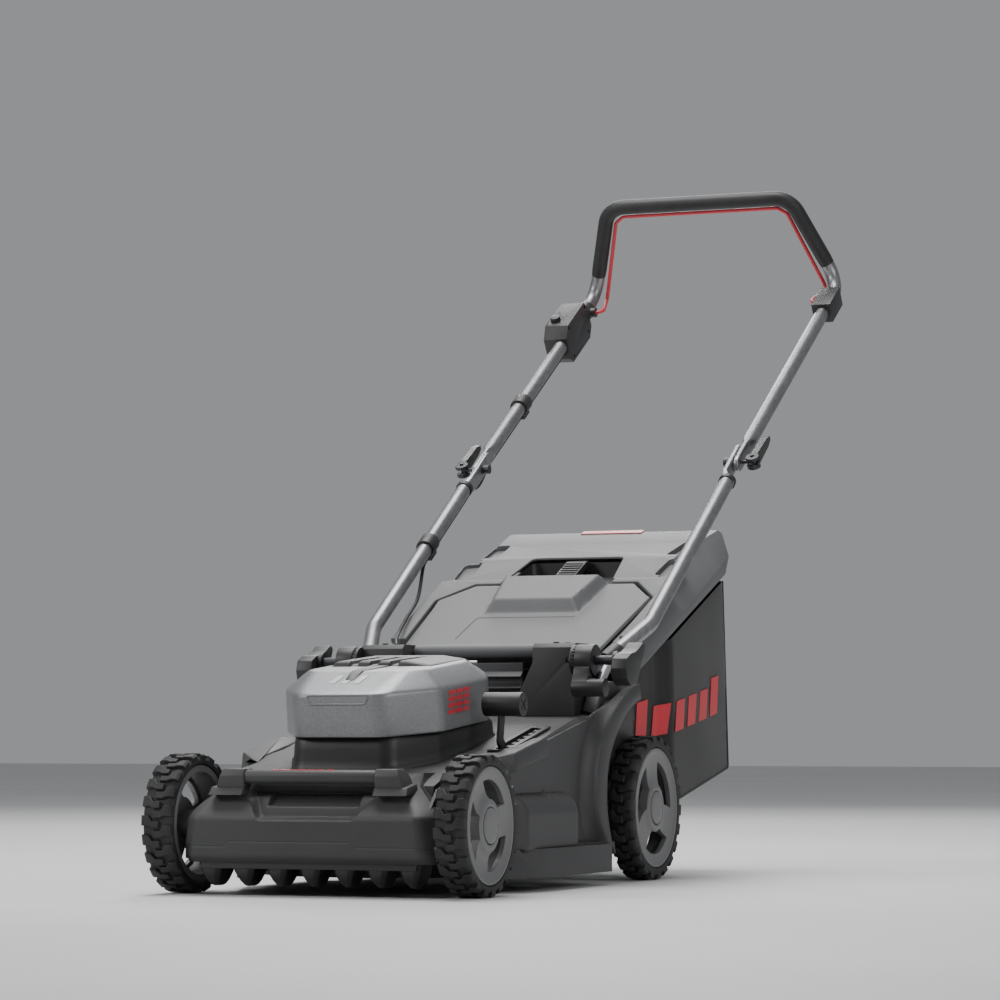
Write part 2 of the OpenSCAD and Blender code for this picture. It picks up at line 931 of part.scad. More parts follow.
module bag_fabric() {
  color([0.15, 0.15, 0.16])
    place()
      difference() {
        intersection() {
          along_x(-bag_w, bag_w) polygon([[641, 100], [760, 104], [991, 152], [968, 432], [641, 299]]);
          linear_extrude(height = 600)
            polygon([
              [-164, 641], [164, 641], [173, 718], [bag_w, 745],
              [bag_w, 992], [-bag_w, 992], [-bag_w, 745], [-173, 718]
            ]);
        }
        intersection() {
          along_x(bag_t - bag_w, bag_w - bag_t)
            polygon([[600, 100 + bag_t], [760, 104 + bag_t], [991 - bag_t, 152 + bag_t], [968 - bag_t, 520], [600, 520]]);
          linear_extrude(height = 600)
            polygon([
              [bag_t - 164, 600], [164 - bag_t, 600], [164 - bag_t, 641.5], [173 - bag_t, 718.5],
              [bag_w - bag_t, 745.5], [bag_w - bag_t, 990], [bag_t - bag_w, 990], [bag_t - bag_w, 745.5],
              [bag_t - 173, 718.5], [bag_t - 164, 641.5]
            ]);
        }
      }
}

module bag_frame() {
  color([0.12, 0.12, 0.12])
    place()
      along_y(634, 640)
        difference() {
          polygon([[-158, 96], [158, 96], [166, 110], [166, 296], [-166, 296], [-166, 110]]);
          polygon([[-140, 112], [140, 112], [140, 280], [-140, 280]]);
        }
}

// ---------- handle ----------
module lower_tube_path(r) {
  bent([[211, 469, 304], [211, 594, 354], low_pt(-45)], 60, r, 2);
}

module lower_tubes() {
  color([0.5, 0.5, 0.52])
    place()
      both() {
        difference() {
          lower_tube_path(tube_r);
          bent([[211, 467, 303.2], [211, 594, 354], low_pt(-52)], 60, tube_r - tube_t, 2);
          rod_x(190, 232, [740, 451.5], 3.1);
        }
        // flattened end
        difference() {
          translate([0, mid[0], mid[1]]) rotate([low_a, 0, 0]) translate([200.4, -45, -12]) cube([8, 85, 24]);
          rod_x(190, 232, mid, 3.3);
        }
      }
}

// plastic feet of the handle and the collars round the tube ends
module lower_housings() {
  color([0.06, 0.06, 0.06])
    place()
      both() {
        difference() {
          union() {
            rod_x(166, 190, fold, 21.5);
            along_x(166, 188) bar2d([421, 266], [430, 284], 13);
            rod_x(166, 212, [420, 265], 12.5);
          }
          rod_x(150, 215, fold, 3.3);
          rod_to([202, 417, 272.5] - 0.3 * [8, 50, 30] / 59, [210, 467, 302.6], 5.7);
        }
        difference() {
          rod_to([211, 461, 300.8], [211, 480, 308.4], 13.5);
          rod_to([211, 468.4, 303.76], [211, 486, 310.8], 11.3);
          rod_to([202, 417, 272.5], [211.2, 474.5, 307.1], 5.8);
        }
      }
}

// bolts of the four clamp levers and the rods that join the lower tubes to their feet
module handle_bolts() {
  color([0.7, 0.7, 0.72])
    place()
      both() {
        rod_to([202, 417, 272.5], [210, 467, 302.6], 5.4);
        rod_x(148, 236, fold, 3);
        rod_x(194, 236, mid, 3);
        rod_x(190, 200, mid, 7);
        for (p = [[fold, 12], [mid, up_a]])
          translate([235, p[0][0], p[0][1]]) rotate([p[1], 0, 0]) translate([0, 0, -10]) cylinder(r = 3.5, h = 20);
      }
}

// cam lever, its pivot on the local Z axis, its arm along local +Y
module cam_lever() {
  color([0.07, 0.07, 0.07])
    difference() {
      union() {
        for (z = [4.2, -9.2]) translate([0, 0, z]) cylinder(r = 10, h = 5);
        for (z = [4.2, -9.2]) translate([-4, 0, z]) cube([10, 14, 5]);
        translate([-4, 13.9, -9.2])
          rotate([90, 0, 90])
            linear_extrude(height = 10)
              polygon([[0, 0], [46, 2], [60, 6], [60, 12.4], [46, 16.4], [0, 18.4]]);
      }
      translate([0, 0, -12]) cylinder(r = 3.5 + run, h = 24);
    }
}

module fold_lever_r() {
  place() translate([235, fold[0], fold[1]]) rotate([12, 0, 0]) cam_lever();
}

module fold_lever_l() {
  mirror([1, 0, 0]) fold_lever_r();
}

module mid_lever_r() {
  place() translate([235, mid[0], mid[1]]) rotate([up_a, 0, 0]) cam_lever();
}

module mid_lever_l() {
  mirror([1, 0, 0]) mid_lever_r();
}

module clip_at(s_pt, a) {
  translate(s_pt)
    rotate([a, 0, 0])
      rotate([-90, 0, 0])
        difference() {
          union() {
            translate([0, 0, -12]) cylinder(r = 14.5, h = 24);
            translate([-6, 0, -12]) cube([12, 20, 24]);
          }
          translate([0, 0, -13]) cylinder(r = tube_r + 0.2, h = 26);
          translate([0, 15.2, -13]) cylinder(r = cable_r + 0.2, h = 26);
        }
}

// point under the left tube where the cable runs
function under(p, a) = [-p[0], p[1] + 15.2 * sin(a), p[2] - 15.2 * cos(a)];

// cable clip on the left tube and the ring clips near the middle joints
module tube_clips() {
  color([0.06, 0.06, 0.06])
    place() {
      mirror([1, 0, 0]) clip_at(low_pt(-224), low_a);
      both()
        difference() {
          rod_to(low_pt(-62), low_pt(-54), 12.8);
          rod_to(low_pt(-64), low_pt(-50), tube_r + 0.2);
        }
    }
}

module upper_clip() {
  color([0.06, 0.06, 0.06]) place() mirror([1, 0, 0]) clip_at(up_pt(212), up_a);
}

module cable_lower() {
  color([0.04, 0.04, 0.04])
    place() rod_to(under(low_pt(-240), low_a), under(low_pt(-60), low_a), cable_r);
}

module cable_upper() {
  color([0.04, 0.04, 0.04])
    place() rod_to(under(up_pt(62), up_a), under(up_pt(412), up_a), cable_r);
}

module cable_bow() {
  route = [
    under(low_pt(-240.6), low_a), under(low_pt(-262), low_a) + [4, 4, 0], [-196, 700, 400], [-181, 610, 356],
    [-164, 530, 352], [-116, 471, 352], [-112, 470, 328]
  ];
  color([0.04, 0.04, 0.04]) place() swept_tube(bend_pts(route, 12, 3), cable_r);
}

function loop_pts(start) = [
  up_pt(start), [211, 1477.8, 928.9], [156, 1390, 1061],
  [-156, 1390, 1061], [-211, 1477.8, 928.9], flip(up_pt(start))
];

module upper_tube() {
  color([0.5, 0.5, 0.52])
    place() {
      difference() {
        swept_tube(bend_pts(loop_pts(44), 38, 5), tube_r, 20);
        swept_tube(bend_pts(loop_pts(54), 38, 5), tube_r - tube_t, 20);
      }
      both()
        difference() {
          translate([0, mid[0], mid[1]]) rotate([up_a, 0, 0]) translate([209, -18, -12]) cube([8, 68, 24]);
          rod_x(190, 232, mid, 3.3);
        }
    }
}

module grip_sleeve() {
  start = [197.9, 1456.9, 960.4];
  below = [198.2, 1457.4, 959.6];
  color([0.06, 0.06, 0.06])
    place()
      difference() {
        swept_tube(bend_pts([start, loop_pts(0)[2], loop_pts(0)[3], flip(start)], 38, 5), tube_r + 1.2, 20);
        swept_tube(bend_pts([below, loop_pts(0)[2], loop_pts(0)[3], flip(below)], 38, 5), tube_r + 0.25, 20);
      }
}

module switch_box() {
  color([0.1, 0.1, 0.1])
    place()
      difference() {
        union() {
          translate([0, mid[0], mid[1]])
            rotate([up_a, 0, 0])
              translate([-238, 412.5, -32])
                along_x(0, 40)
                  polygon([[8, 0], [96, 0], [112, 14], [112, 48], [100, 62], [18, 62], [0, 46], [0, 10]]);
          rod_to(flip(up_pt(516)), flip(up_pt(550)), 14.4);
          rod_x(-200, -190.6, bail_at, 8);
        }
        rod_to(flip(up_pt(300)), flip(up_pt(600)), tube_r + 0.2);
        rod_x(-202, -180, bail_at, bail_r + run);
        translate([0, mid[0], mid[1]]) rotate([up_a, 0, 0]) translate([-226, 450, 20]) cylinder(r = 8 + run, h = 60);
        translate([0, mid[0], mid[1]])
          rotate([up_a, 0, 0])
            for (p = [[428, -24], [508, -20], [512, 22], [432, 24]])
              translate([-200, p[0], p[1]]) rotate([0, 90, 0]) cylinder(r = 3, h = 4);
      }
}

module start_button() {
  color([0.8, 0.15, 0.17])
    place()
      translate([0, mid[0], mid[1]]) rotate([up_a, 0, 0]) translate([-226, 450, 25]) cylinder(r = 8, h = 12);
}

module bail_bracket() {
  color([0.1, 0.1, 0.1])
    place()
      difference() {
        union() {
          translate([0, mid[0], mid[1]])
            rotate([up_a, 0, 0])
              translate([195, 494, -16]) cube([31, 62, 32]);
          rod_x(190.6, 200, bail_at, 8);
        }
        rod_to(up_pt(470), up_pt(580), tube_r + 0.2);
        rod_x(180, 202, bail_at, bail_r + run);
      }
}

function bail_half() = [
  [198.5, bail_at[0], bail_at[1]], [178, bail_at[0], bail_at[1]], [190.5, 1477, 923],
  [147.5, 1405.2, 1038.1], [132.9, 1399.4, 1046.8]
];
function flip(p) = [-p[0], p[1], p[2]];

module bail_rod() {
  h = bail_half();
  inner = [192, bail_at[0], bail_at[1]];
  color([0.85, 0.12, 0.14])
    place() {
      both() rod_x(188.6, 198.5, bail_at, bail_r);
      swept_tube(bend_pts([
        inner, h[1], h[2], h[3], h[4],
        flip(h[4]), flip(h[3]), flip(h[2]), flip(h[1]), flip(inner)
      ], 9, 4), bail_r - 0.04, 16);
    }
}

module deck_screws() {
  color([0.35, 0.35, 0.35])
    place() {
      for (a = [45 : 90 : 315])
        translate([0, blade_y, 0]) rotate([0, 0, a]) translate([70, 0, 127.2]) cylinder(r = 4.5, h = 3.5);
      both() {
        for (y = [451, 492]) translate([128, y, 326.2]) cylinder(r = 4, h = 1.6);
      }
    }
}

module wheel_fr_tyre() {
  wheel_fr() front_tyre();
}

module wheel_fr_rim() {
  wheel_fr() front_rim();
}

module wheel_fl_tyre() {
  wheel_fl() front_tyre();
}

module wheel_fl_rim() {
  wheel_fl() front_rim();
}

module wheel_rr_tyre() {
  wheel_rr() rear_tyre();
}

module wheel_rr_rim() {
  wheel_rr() rear_rim();
}

module wheel_rl_tyre() {
  wheel_rl() rear_tyre();
}

module wheel_rl_rim() {
  wheel_rl() rear_rim();
}

// ---------- drawing ----------
deck_shell();
front_shield();
lift_bar();
grass_comb();
motor_neck();
hood_shell();
battery_bay();
motor_housing();
motor_stator();
shaft_bearings();
lever_post();
height_rack();
handle_blocks();
ratchet_discs();
hinge_pins();
discharge_chute();
deck_screws();
cable_bow();
battery_lid();
battery_case();
safety_key();
blade_bar();
blade_holder();
blade_bolt();
motor_rotor();
height_arm();
height_grip();
link_rod();
front_crank();
rear_crank();
wheel_fr_tyre();
wheel_fr_rim();
wheel_fl_tyre();
wheel_fl_rim();
wheel_rr_tyre();
wheel_rr_rim();
wheel_rl_tyre();
wheel_rl_rim();
lower_tubes();
lower_housings();
handle_bolts();
tube_clips();
cable_lower();
fold_lever_r();
fold_lever_l();
mid_lever_r();
mid_lever_l();
upper_tube();
grip_sleeve();
switch_box();
bail_bracket();
upper_clip();
cable_upper();
bail_rod();
start_button();
rear_flap();
bag_lid();
bag_fabric();
bag_frame();
bag_handle();
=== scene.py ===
import json
import math
import random

import bmesh
import bpy
from mathutils import Matrix, Vector


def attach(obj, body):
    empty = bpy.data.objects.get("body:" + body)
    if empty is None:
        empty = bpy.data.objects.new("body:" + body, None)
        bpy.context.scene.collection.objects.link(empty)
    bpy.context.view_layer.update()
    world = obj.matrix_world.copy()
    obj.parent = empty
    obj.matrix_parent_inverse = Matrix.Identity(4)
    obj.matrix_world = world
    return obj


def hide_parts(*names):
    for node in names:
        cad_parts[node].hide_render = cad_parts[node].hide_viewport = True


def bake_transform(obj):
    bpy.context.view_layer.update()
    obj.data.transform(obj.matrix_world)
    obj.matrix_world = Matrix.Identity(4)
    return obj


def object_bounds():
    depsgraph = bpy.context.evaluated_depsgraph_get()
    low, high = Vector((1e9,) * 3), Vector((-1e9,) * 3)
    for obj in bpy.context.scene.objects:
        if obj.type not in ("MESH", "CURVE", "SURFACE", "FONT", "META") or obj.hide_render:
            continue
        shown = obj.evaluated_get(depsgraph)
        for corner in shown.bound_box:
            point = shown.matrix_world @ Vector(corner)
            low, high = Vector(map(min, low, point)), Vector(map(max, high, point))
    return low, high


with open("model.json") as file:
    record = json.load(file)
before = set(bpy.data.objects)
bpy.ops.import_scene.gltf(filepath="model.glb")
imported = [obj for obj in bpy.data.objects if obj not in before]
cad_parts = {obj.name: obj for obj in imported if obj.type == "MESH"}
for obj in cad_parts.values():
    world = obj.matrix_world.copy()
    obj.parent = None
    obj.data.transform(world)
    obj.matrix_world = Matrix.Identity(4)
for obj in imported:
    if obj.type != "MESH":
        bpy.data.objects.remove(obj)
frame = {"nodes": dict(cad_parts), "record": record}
cad_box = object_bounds()

RIGHT, LEFT = 1, -1

# ---------------------------------------------------------------- sizes, in millimetres
# Places are (x, y, z) with y counted back from the front axle and z up from the ground.
AXLE_TO_MIDDLE = 700

FRONT = {"radius": 89, "width": 42, "bead": 74, "x": 201, "y": 0, "spokes": 81}
REAR = {"radius": 100, "width": 37, "bead": 83, "x": 197, "y": 610, "spokes": 53}
HUB_BORE = 6.2
TREAD_BLOCKS = 22

MIDDLE_JOINT = (972, 606)
LOWER_ANGLE = 33.72
UPPER_ANGLE = 32.55
TUBE_R = 11
BAIL_R = 3
CABLE_R = 2.6
CABLE_DROP = 15.2
BAIL_PIVOT = (1425, 894.6)

BAG_HALF = 188
BAG_FRONT_HALF = 164
BAG_SIDE = [(641, 164), (718, 173), (745, 187.5), (992, 187.5)]
BAG_SLOPE = math.atan2(133, 327)


def at(x, y, z):
    """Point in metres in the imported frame, from millimetres counted from the front axle."""
    return Vector((x, y - AXLE_TO_MIDDLE, z)) / 1000


def mirrored(p):
    return (-p[0], p[1], p[2])


def along(angle, s, x=211):
    """Point on a handle tube's axis, s millimetres past the middle joint."""
    a = math.radians(angle)
    return (x, MIDDLE_JOINT[0] + s * math.cos(a), MIDDLE_JOINT[1] + s * math.sin(a))


def lower(s, x=211):
    return along(LOWER_ANGLE, s, x)


def upper(s, x=211):
    return along(UPPER_ANGLE, s, x)


# ---------------------------------------------------------------- camera, light and floor
def add_camera():
    data = bpy.data.cameras.new("camera")
    data.lens = 133.9
    data.sensor_width = 36
    data.clip_end = 60
    camera = bpy.data.objects.new("camera", data)
    right = Vector((0.92276, 0.38537, 0))
    ahead = Vector((-0.38463, 0.92098, 0.06206))
    up = right.cross(ahead)
    turn = Matrix((right, up, -ahead)).transposed().to_4x4()
    camera.matrix_world = Matrix.Translation((2.0128, -4.9613, 0.206)) @ turn
    bpy.context.scene.collection.objects.link(camera)
    bpy.context.scene.camera = camera


def add_area_light(name, place, target, size, power):
    data = bpy.data.lights.new(name, "AREA")
    data.shape = "DISK"
    data.size = size
    data.energy = power
    light = bpy.data.objects.new(name, data)
    light.location = place
    light.rotation_euler = (Vector(target) - Vector(place)).to_track_quat("-Z", "Y").to_euler()
    bpy.context.scene.collection.objects.link(light)


def add_studio():
    add_area_light("sky_panel", (-0.5, 0.2, 3.4), (0, 0, 0.3), 2.4, 135)
    add_area_light("left_panel", (-2.8, -3.2, 2.3), (0, -0.2, 0.3), 1.5, 70)
    add_area_light("right_panel", (3.6, -1.6, 1.7), (0, 0, 0.4), 1.5, 40)
    add_area_light("back_panel", (-1.2, 3.2, 2.6), (0, 0.4, 0.5), 1.8, 60)
    world = bpy.data.worlds.new("studio")
    world.use_nodes = True
    world.node_tree.nodes["Background"].inputs["Color"].default_value = (0.9, 0.92, 0.95, 1)
    world.node_tree.nodes["Background"].inputs["Strength"].default_value = 0.33
    bpy.context.scene.world = world


# ---------------------------------------------------------------- materials
def add_node(material, kind, values=None, **settings):
    node = material.node_tree.nodes.new(kind)
    for key, value in settings.items():
        setattr(node, key, value)
    for key, value in (values or {}).items():
        node.inputs[key].default_value = value
    return node


def join(material, output, target):
    material.node_tree.links.new(output, target)


def shader(material):
    return material.node_tree.nodes["Principled BSDF"]


def rgba(colour, factor=1.0):
    return tuple(min(1.0, c * factor) for c in colour) + (1,)


def blank_material(name, roughness, metallic=0.0, specular=0.5):
    material = bpy.data.materials.new(name)
    material.use_nodes = True
    inputs = shader(material).inputs
    inputs["Roughness"].default_value = roughness
    inputs["Metallic"].default_value = metallic
    inputs["Specular IOR Level"].default_value = specular
    return material


def place_coordinates(material):
    return add_node(material, "ShaderNodeTexCoord").outputs["Object"]


def noise(material, coordinates, scale, detail=3.0, roughness=0.5):
    node = add_node(material, "ShaderNodeTexNoise", {"Scale": scale, "Detail": detail, "Roughness": roughness})
    join(material, coordinates, node.inputs["Vector"])
    return node.outputs["Fac"]


def ramp(material, factor, low, high, dark, light):
    """Colour that goes from dark to light as factor goes from low to high."""
    node = add_node(material, "ShaderNodeValToRGB")
    node.color_ramp.elements[0].position = low
    node.color_ramp.elements[1].position = high
    node.color_ramp.elements[0].color = dark
    node.color_ramp.elements[1].color = light
    join(material, factor, node.inputs["Fac"])
    return node.outputs["Color"]


def mixed(material, factor, a, b, blend="MIX"):
    node = add_node(material, "ShaderNodeMix", data_type="RGBA", blend_type=blend)
    for value, socket in ((factor, node.inputs[0]), (a, node.inputs[6]), (b, node.inputs[7])):
        if isinstance(value, (int, float, tuple)):
            socket.default_value = value
        else:
            join(material, value, socket)
    return node.outputs[2]


def between(material, factor, low, high):
    node = add_node(material, "ShaderNodeMapRange", {"To Min": low, "To Max": high})
    join(material, factor, node.inputs["Value"])
    return node.outputs["Result"]


def bumped(material, height, strength, depth, under=None):
    node = add_node(material, "ShaderNodeBump", {"Strength": strength, "Distance": depth})
    join(material, height, node.inputs["Height"])
    if under is not None:
        join(material, under, node.inputs["Normal"])
    return node.outputs["Normal"]


def moulded(name, colour, roughness, grain=1300, depth=0.00025, mottle=0.14, dust_and_top_light=0.05, metallic=0.0):
    """Moulded plastic: fine spark-eroded grain, faint mottling, and a warm grey on faces that look up, partly dust and
    partly painted light on the tops.
    """
    material = blank_material(name, roughness, metallic)
    where = place_coordinates(material)
    broad = noise(material, where, 11, 4)
    fine = noise(material, where, grain, 2, 0.7)
    base = ramp(material, broad, 0.3, 0.7, rgba(colour, 1 - mottle), rgba(colour, 1 + mottle))
    speckle = ramp(material, fine, 0.35, 0.75, rgba((0.82,) * 3), rgba((1.16, 1.16, 1.17)))
    grainy = mixed(material, 1.0, base, speckle, "MULTIPLY")
    normal = add_node(material, "ShaderNodeNewGeometry").outputs["Normal"]
    split = add_node(material, "ShaderNodeSeparateXYZ")
    join(material, normal, split.inputs[0])
    # Faces that look up are mixed towards a warm grey: some dust, and painted light on the tops.
    upward = add_node(material, "ShaderNodeMapRange", {"From Min": 0.2, "From Max": 1.0, "To Max": dust_and_top_light})
    join(material, split.outputs["Z"], upward.inputs["Value"])
    dusty_and_top_lit = mixed(material, upward.outputs["Result"], grainy, rgba((0.34, 0.33, 0.31)))
    join(material, dusty_and_top_lit, shader(material).inputs["Base Color"])
    join(material, between(material, broad, roughness - 0.07, roughness + 0.08), shader(material).inputs["Roughness"])
    cells = add_node(material, "ShaderNodeTexVoronoi", {"Scale": grain * 0.6})
    join(material, where, cells.inputs["Vector"])
    first = bumped(material, cells.outputs["Distance"], 0.35, depth)
    join(material, bumped(material, fine, 0.4, depth, first), shader(material).inputs["Normal"])
    return material


def flake_paint(name, colour):
    """Silver-grey paint with metal flakes under a satin lacquer."""
    material = blank_material(name, 0.4, 0.72)
    where = place_coordinates(material)
    flakes = add_node(material, "ShaderNodeTexVoronoi", {"Scale": 1900})
    join(material, where, flakes.inputs["Vector"])
    tone = add_node(material, "ShaderNodeSeparateColor")
    join(material, flakes.outputs["Color"], tone.inputs[0])
    glints = ramp(material, tone.outputs["Red"], 0.1, 0.95, rgba(colour, 0.8), rgba(colour, 1.35))
    clouds = noise(material, where, 7, 3)
    shade = ramp(material, clouds, 0.3, 0.7, rgba((0.9,) * 3), rgba((1.08,) * 3))
    join(material, mixed(material, 1.0, glints, shade, "MULTIPLY"), shader(material).inputs["Base Color"])
    join(material, between(material, tone.outputs["Green"], 0.3, 0.55), shader(material).inputs["Roughness"])
    join(material, bumped(material, tone.outputs["Blue"], 0.25, 0.0002), shader(material).inputs["Normal"])
    shader(material).inputs["Coat Weight"].default_value = 0.18
    shader(material).inputs["Coat Roughness"].default_value = 0.28
    return material


def metal(name, colour, roughness, drawn=(1, 1, 1), scratches=0.25):
    """Metal with drawing lines; drawn stretches the streaks along an axis."""
    material = blank_material(name, roughness, 0.9)
    where = place_coordinates(material)
    stretch = add_node(material, "ShaderNodeMapping", {"Scale": drawn})
    join(material, where, stretch.inputs["Vector"])
    streaks = noise(material, stretch.outputs["Vector"], 240, 5, 0.65)
    clouds = noise(material, where, 16, 4)
    base = ramp(material, streaks, 0.25, 0.8, rgba(colour, 1 - scratches), rgba(colour, 1 + scratches))
    worn = ramp(material, clouds, 0.3, 0.75, rgba((0.86,) * 3), rgba((1.1,) * 3))
    join(material, mixed(material, 1.0, base, worn, "MULTIPLY"), shader(material).inputs["Base Color"])
    join(material, between(material, streaks, roughness - 0.08, roughness + 0.14), shader(material).inputs["Roughness"])
    join(material, bumped(material, streaks, 0.12, 0.0002), shader(material).inputs["Normal"])
    return material


def rubber(name, colour, roughness=0.62, grain=520, depth=0.0004):
    material = blank_material(name, roughness, 0.0, 0.4)
    where = place_coordinates(material)
    broad = noise(material, where, 26, 5, 0.6)
    fine = noise(material, where, grain, 3, 0.65)
    scuffed = ramp(material, broad, 0.35, 0.8, rgba(colour), rgba(colour, 2.1))
    pores = ramp(material, fine, 0.3, 0.7, rgba((0.75,) * 3), rgba((1.15,) * 3))
    join(material, mixed(material, 1.0, scuffed, pores, "MULTIPLY"), shader(material).inputs["Base Color"])
    join(material, between(material, broad, roughness - 0.08, roughness + 0.12), shader(material).inputs["Roughness"])
    join(material, bumped(material, fine, 0.5, depth), shader(material).inputs["Normal"])
    return material


def woven(name, colour, pitch=0.0011):
    """Coated woven polyester: a plain weave in the plane of each panel."""
    material = blank_material(name, 0.78, 0.0, 0.35)
    where = place_coordinates(material)
    split = add_node(material, "ShaderNodeSeparateXYZ")
    join(material, where, split.inputs[0])
    across = add_node(material, "ShaderNodeMath", operation="ADD")
    join(material, split.outputs["X"], across.inputs[0])
    join(material, split.outputs["Y"], across.inputs[1])

    def threads(value):
        scaled = add_node(material, "ShaderNodeMath", operation="MULTIPLY")
        scaled.inputs[1].default_value = math.pi / pitch
        join(material, value, scaled.inputs[0])
        wave = add_node(material, "ShaderNodeMath", operation="SINE")
        join(material, scaled.outputs[0], wave.inputs[0])
        return wave.outputs[0]

    crossing = add_node(material, "ShaderNodeMath", operation="MULTIPLY")
    join(material, threads(across.outputs[0]), crossing.inputs[0])
    join(material, threads(split.outputs["Z"]), crossing.inputs[1])
    weave = between(material, crossing.outputs[0], 0.0, 1.0)
    weave.node.inputs["From Min"].default_value = -1.0
    broad = noise(material, where, 9, 4)
    fibres = noise(material, where, 1400, 3, 0.7)
    base = ramp(material, broad, 0.3, 0.75, rgba(colour, 0.8), rgba(colour, 1.25))
    yarn = ramp(material, weave, 0.1, 0.9, rgba((0.7,) * 3), rgba((1.2,) * 3))
    join(material, mixed(material, 1.0, base, yarn, "MULTIPLY"), shader(material).inputs["Base Color"])
    under = bumped(material, fibres, 0.3, 0.0002)
    join(material, bumped(material, weave, 0.5, 0.0003, under), shader(material).inputs["Normal"])
    shader(material).inputs["Sheen Weight"].default_value = 0.25
    shader(material).inputs["Sheen Roughness"].default_value = 0.5
    return material


def floor_material():
    material = blank_material("floor_paint", 0.62, 0.0, 0.4)
    where = place_coordinates(material)
    broad = noise(material, where, 1.3, 5)
    tint = ramp(material, broad, 0.3, 0.7, (0.60, 0.60, 0.595, 1), (0.655, 0.655, 0.65, 1))
    join(material, tint, shader(material).inputs["Base Color"])
    join(material, bumped(material, noise(material, where, 160, 3), 0.06, 0.001), shader(material).inputs["Normal"])
    return material


MATERIALS = {
    "charcoal_plastic": moulded("charcoal_plastic", (0.040, 0.040, 0.042), 0.52),
    "black_plastic": moulded("black_plastic", (0.020, 0.020, 0.021), 0.45, 1100, 0.0002, 0.16, 0.03),
    "hood_paint": flake_paint("hood_paint", (0.235, 0.238, 0.245)),
    "grey_plastic": moulded("grey_plastic", (0.125, 0.126, 0.13), 0.55, 1200, 0.00025, 0.1),
    "wheel_grey": moulded("wheel_grey", (0.15, 0.15, 0.153), 0.42, 1500, 0.00015, 0.08, 0.04),
    "red": moulded("red", (0.62, 0.035, 0.05), 0.34, 1500, 0.0001, 0.08, 0.0),
    "tyre": rubber("tyre", (0.018, 0.018, 0.019)),
    "tube_metal": metal("tube_metal", (0.30, 0.30, 0.31), 0.36, (3, 0.25, 0.25)),
    "steel": metal("steel", (0.56, 0.56, 0.58), 0.28, (1, 4, 4)),
    "dark_steel": metal("dark_steel", (0.07, 0.07, 0.075), 0.45, (0.4, 2, 2)),
    "copper": metal("copper", (0.62, 0.3, 0.15), 0.35, (1, 1, 9), 0.4),
    "grip_foam": rubber("grip_foam", (0.016, 0.016, 0.017), 0.5, 760, 0.0003),
    "cable": rubber("cable", (0.013, 0.013, 0.013), 0.5, 300, 0.0002),
    "fabric": woven("fabric", (0.017, 0.017, 0.018)),
}


# ---------------------------------------------------------------- mesh tools
SLOT_OF = {part["node"]: part["material_slot"] for part in frame["record"]["subparts"]}


def body_holding(node):
    for body, nodes in frame["record"]["behaviour"]["bodies"].items():
        if node in nodes:
            return body
    raise KeyError(node)


def finish_piece(piece, slot, body, replaced=()):
    piece.data.materials.clear()
    piece.data.materials.append(MATERIALS[slot])
    if body:
        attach(piece, body)
    if replaced:
        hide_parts(*replaced)
    return piece


def smooth_by_angle(mesh, degrees=32):
    mesh.shade_smooth()
    mesh.set_sharp_from_angle(angle=math.radians(degrees))


def piece_from(name, points, faces, sharp=32):
    mesh = bpy.data.meshes.new(name)
    mesh.from_pydata([tuple(p) for p in points], [], faces)
    mesh.update()
    bm = bmesh.new()
    bm.from_mesh(mesh)
    bmesh.ops.recalc_face_normals(bm, faces=bm.faces)
    bm.to_mesh(mesh)
    bm.free()
    smooth_by_angle(mesh, sharp)
    piece = bpy.data.objects.new(name, mesh)
    bpy.context.scene.collection.objects.link(piece)
    return piece


def round_edges(piece, width, segments=3, angle=28):
    """Rounds the edges of a piece, width in millimetres, and bakes the result into its mesh."""
    bevel = piece.modifiers.new("round", "BEVEL")
    bevel.width = width / 1000
    bevel.segments = segments
    bevel.limit_method = "ANGLE"
    bevel.angle_limit = math.radians(angle)
    bevel.miter_outer = "MITER_ARC"
    bake(piece)
    smooth_by_angle(piece.data, 40)
    return piece


def bake(piece):
    graph = bpy.context.evaluated_depsgraph_get()
    mesh = bpy.data.meshes.new_from_object(piece.evaluated_get(graph))
    piece.modifiers.clear()
    old = piece.data
    piece.data = mesh
    bpy.data.meshes.remove(old)


def cut(piece, cutter):
    """Takes the cutter out of the piece."""
    boolean = piece.modifiers.new("cut", "BOOLEAN")
    boolean.object = cutter
    boolean.solver = "EXACT"
    bake(piece)
    bpy.data.objects.remove(cutter)


def keep_inside(piece, other):
    """Keeps only what the two pieces share."""
    boolean = piece.modifiers.new("keep", "BOOLEAN")
    boolean.object = other
    boolean.operation = "INTERSECT"
    boolean.solver = "EXACT"
    bake(piece)
    bpy.data.objects.remove(other)
    return piece


def cad_copy(node, name):
    """Copy of a CAD node with its flat faces joined."""
    mesh = frame["nodes"][node].data.copy()
    bm = bmesh.new()
    bm.from_mesh(mesh)
    bmesh.ops.remove_doubles(bm, verts=bm.verts, dist=2e-6)
    bmesh.ops.dissolve_limit(bm, angle_limit=math.radians(0.6), verts=bm.verts, edges=bm.edges)
    bm.to_mesh(mesh)
    bm.free()
    piece = bpy.data.objects.new(name, mesh)
    bpy.context.scene.collection.objects.link(piece)
    return piece


def refined(node, width, slot=None, segments=3, angle=28):
    """A CAD node with rounded edges, standing for the node."""
    piece = round_edges(cad_copy(node, node + "_skin"), width, segments, angle)
    return finish_piece(piece, slot or SLOT_OF[node], body_holding(node), [node])


def rings_piece(name, rings, closed=False, capped=True, sharp=32):
    """Skin over rings of equal length."""
    count = len(rings[0])
    points = [p for ring in rings for p in ring]
    faces = []
    for i in range(len(rings) if closed else len(rings) - 1):
        a, b = i * count, (i + 1) % len(rings) * count
        for k in range(count):
            m = (k + 1) % count
            faces.append((a + k, a + m, b + m, b + k))
    if capped and not closed:
        faces.append(tuple(range(count)))
        faces.append(tuple(range(len(points) - count, len(points))))
    return piece_from(name, points, faces, sharp)


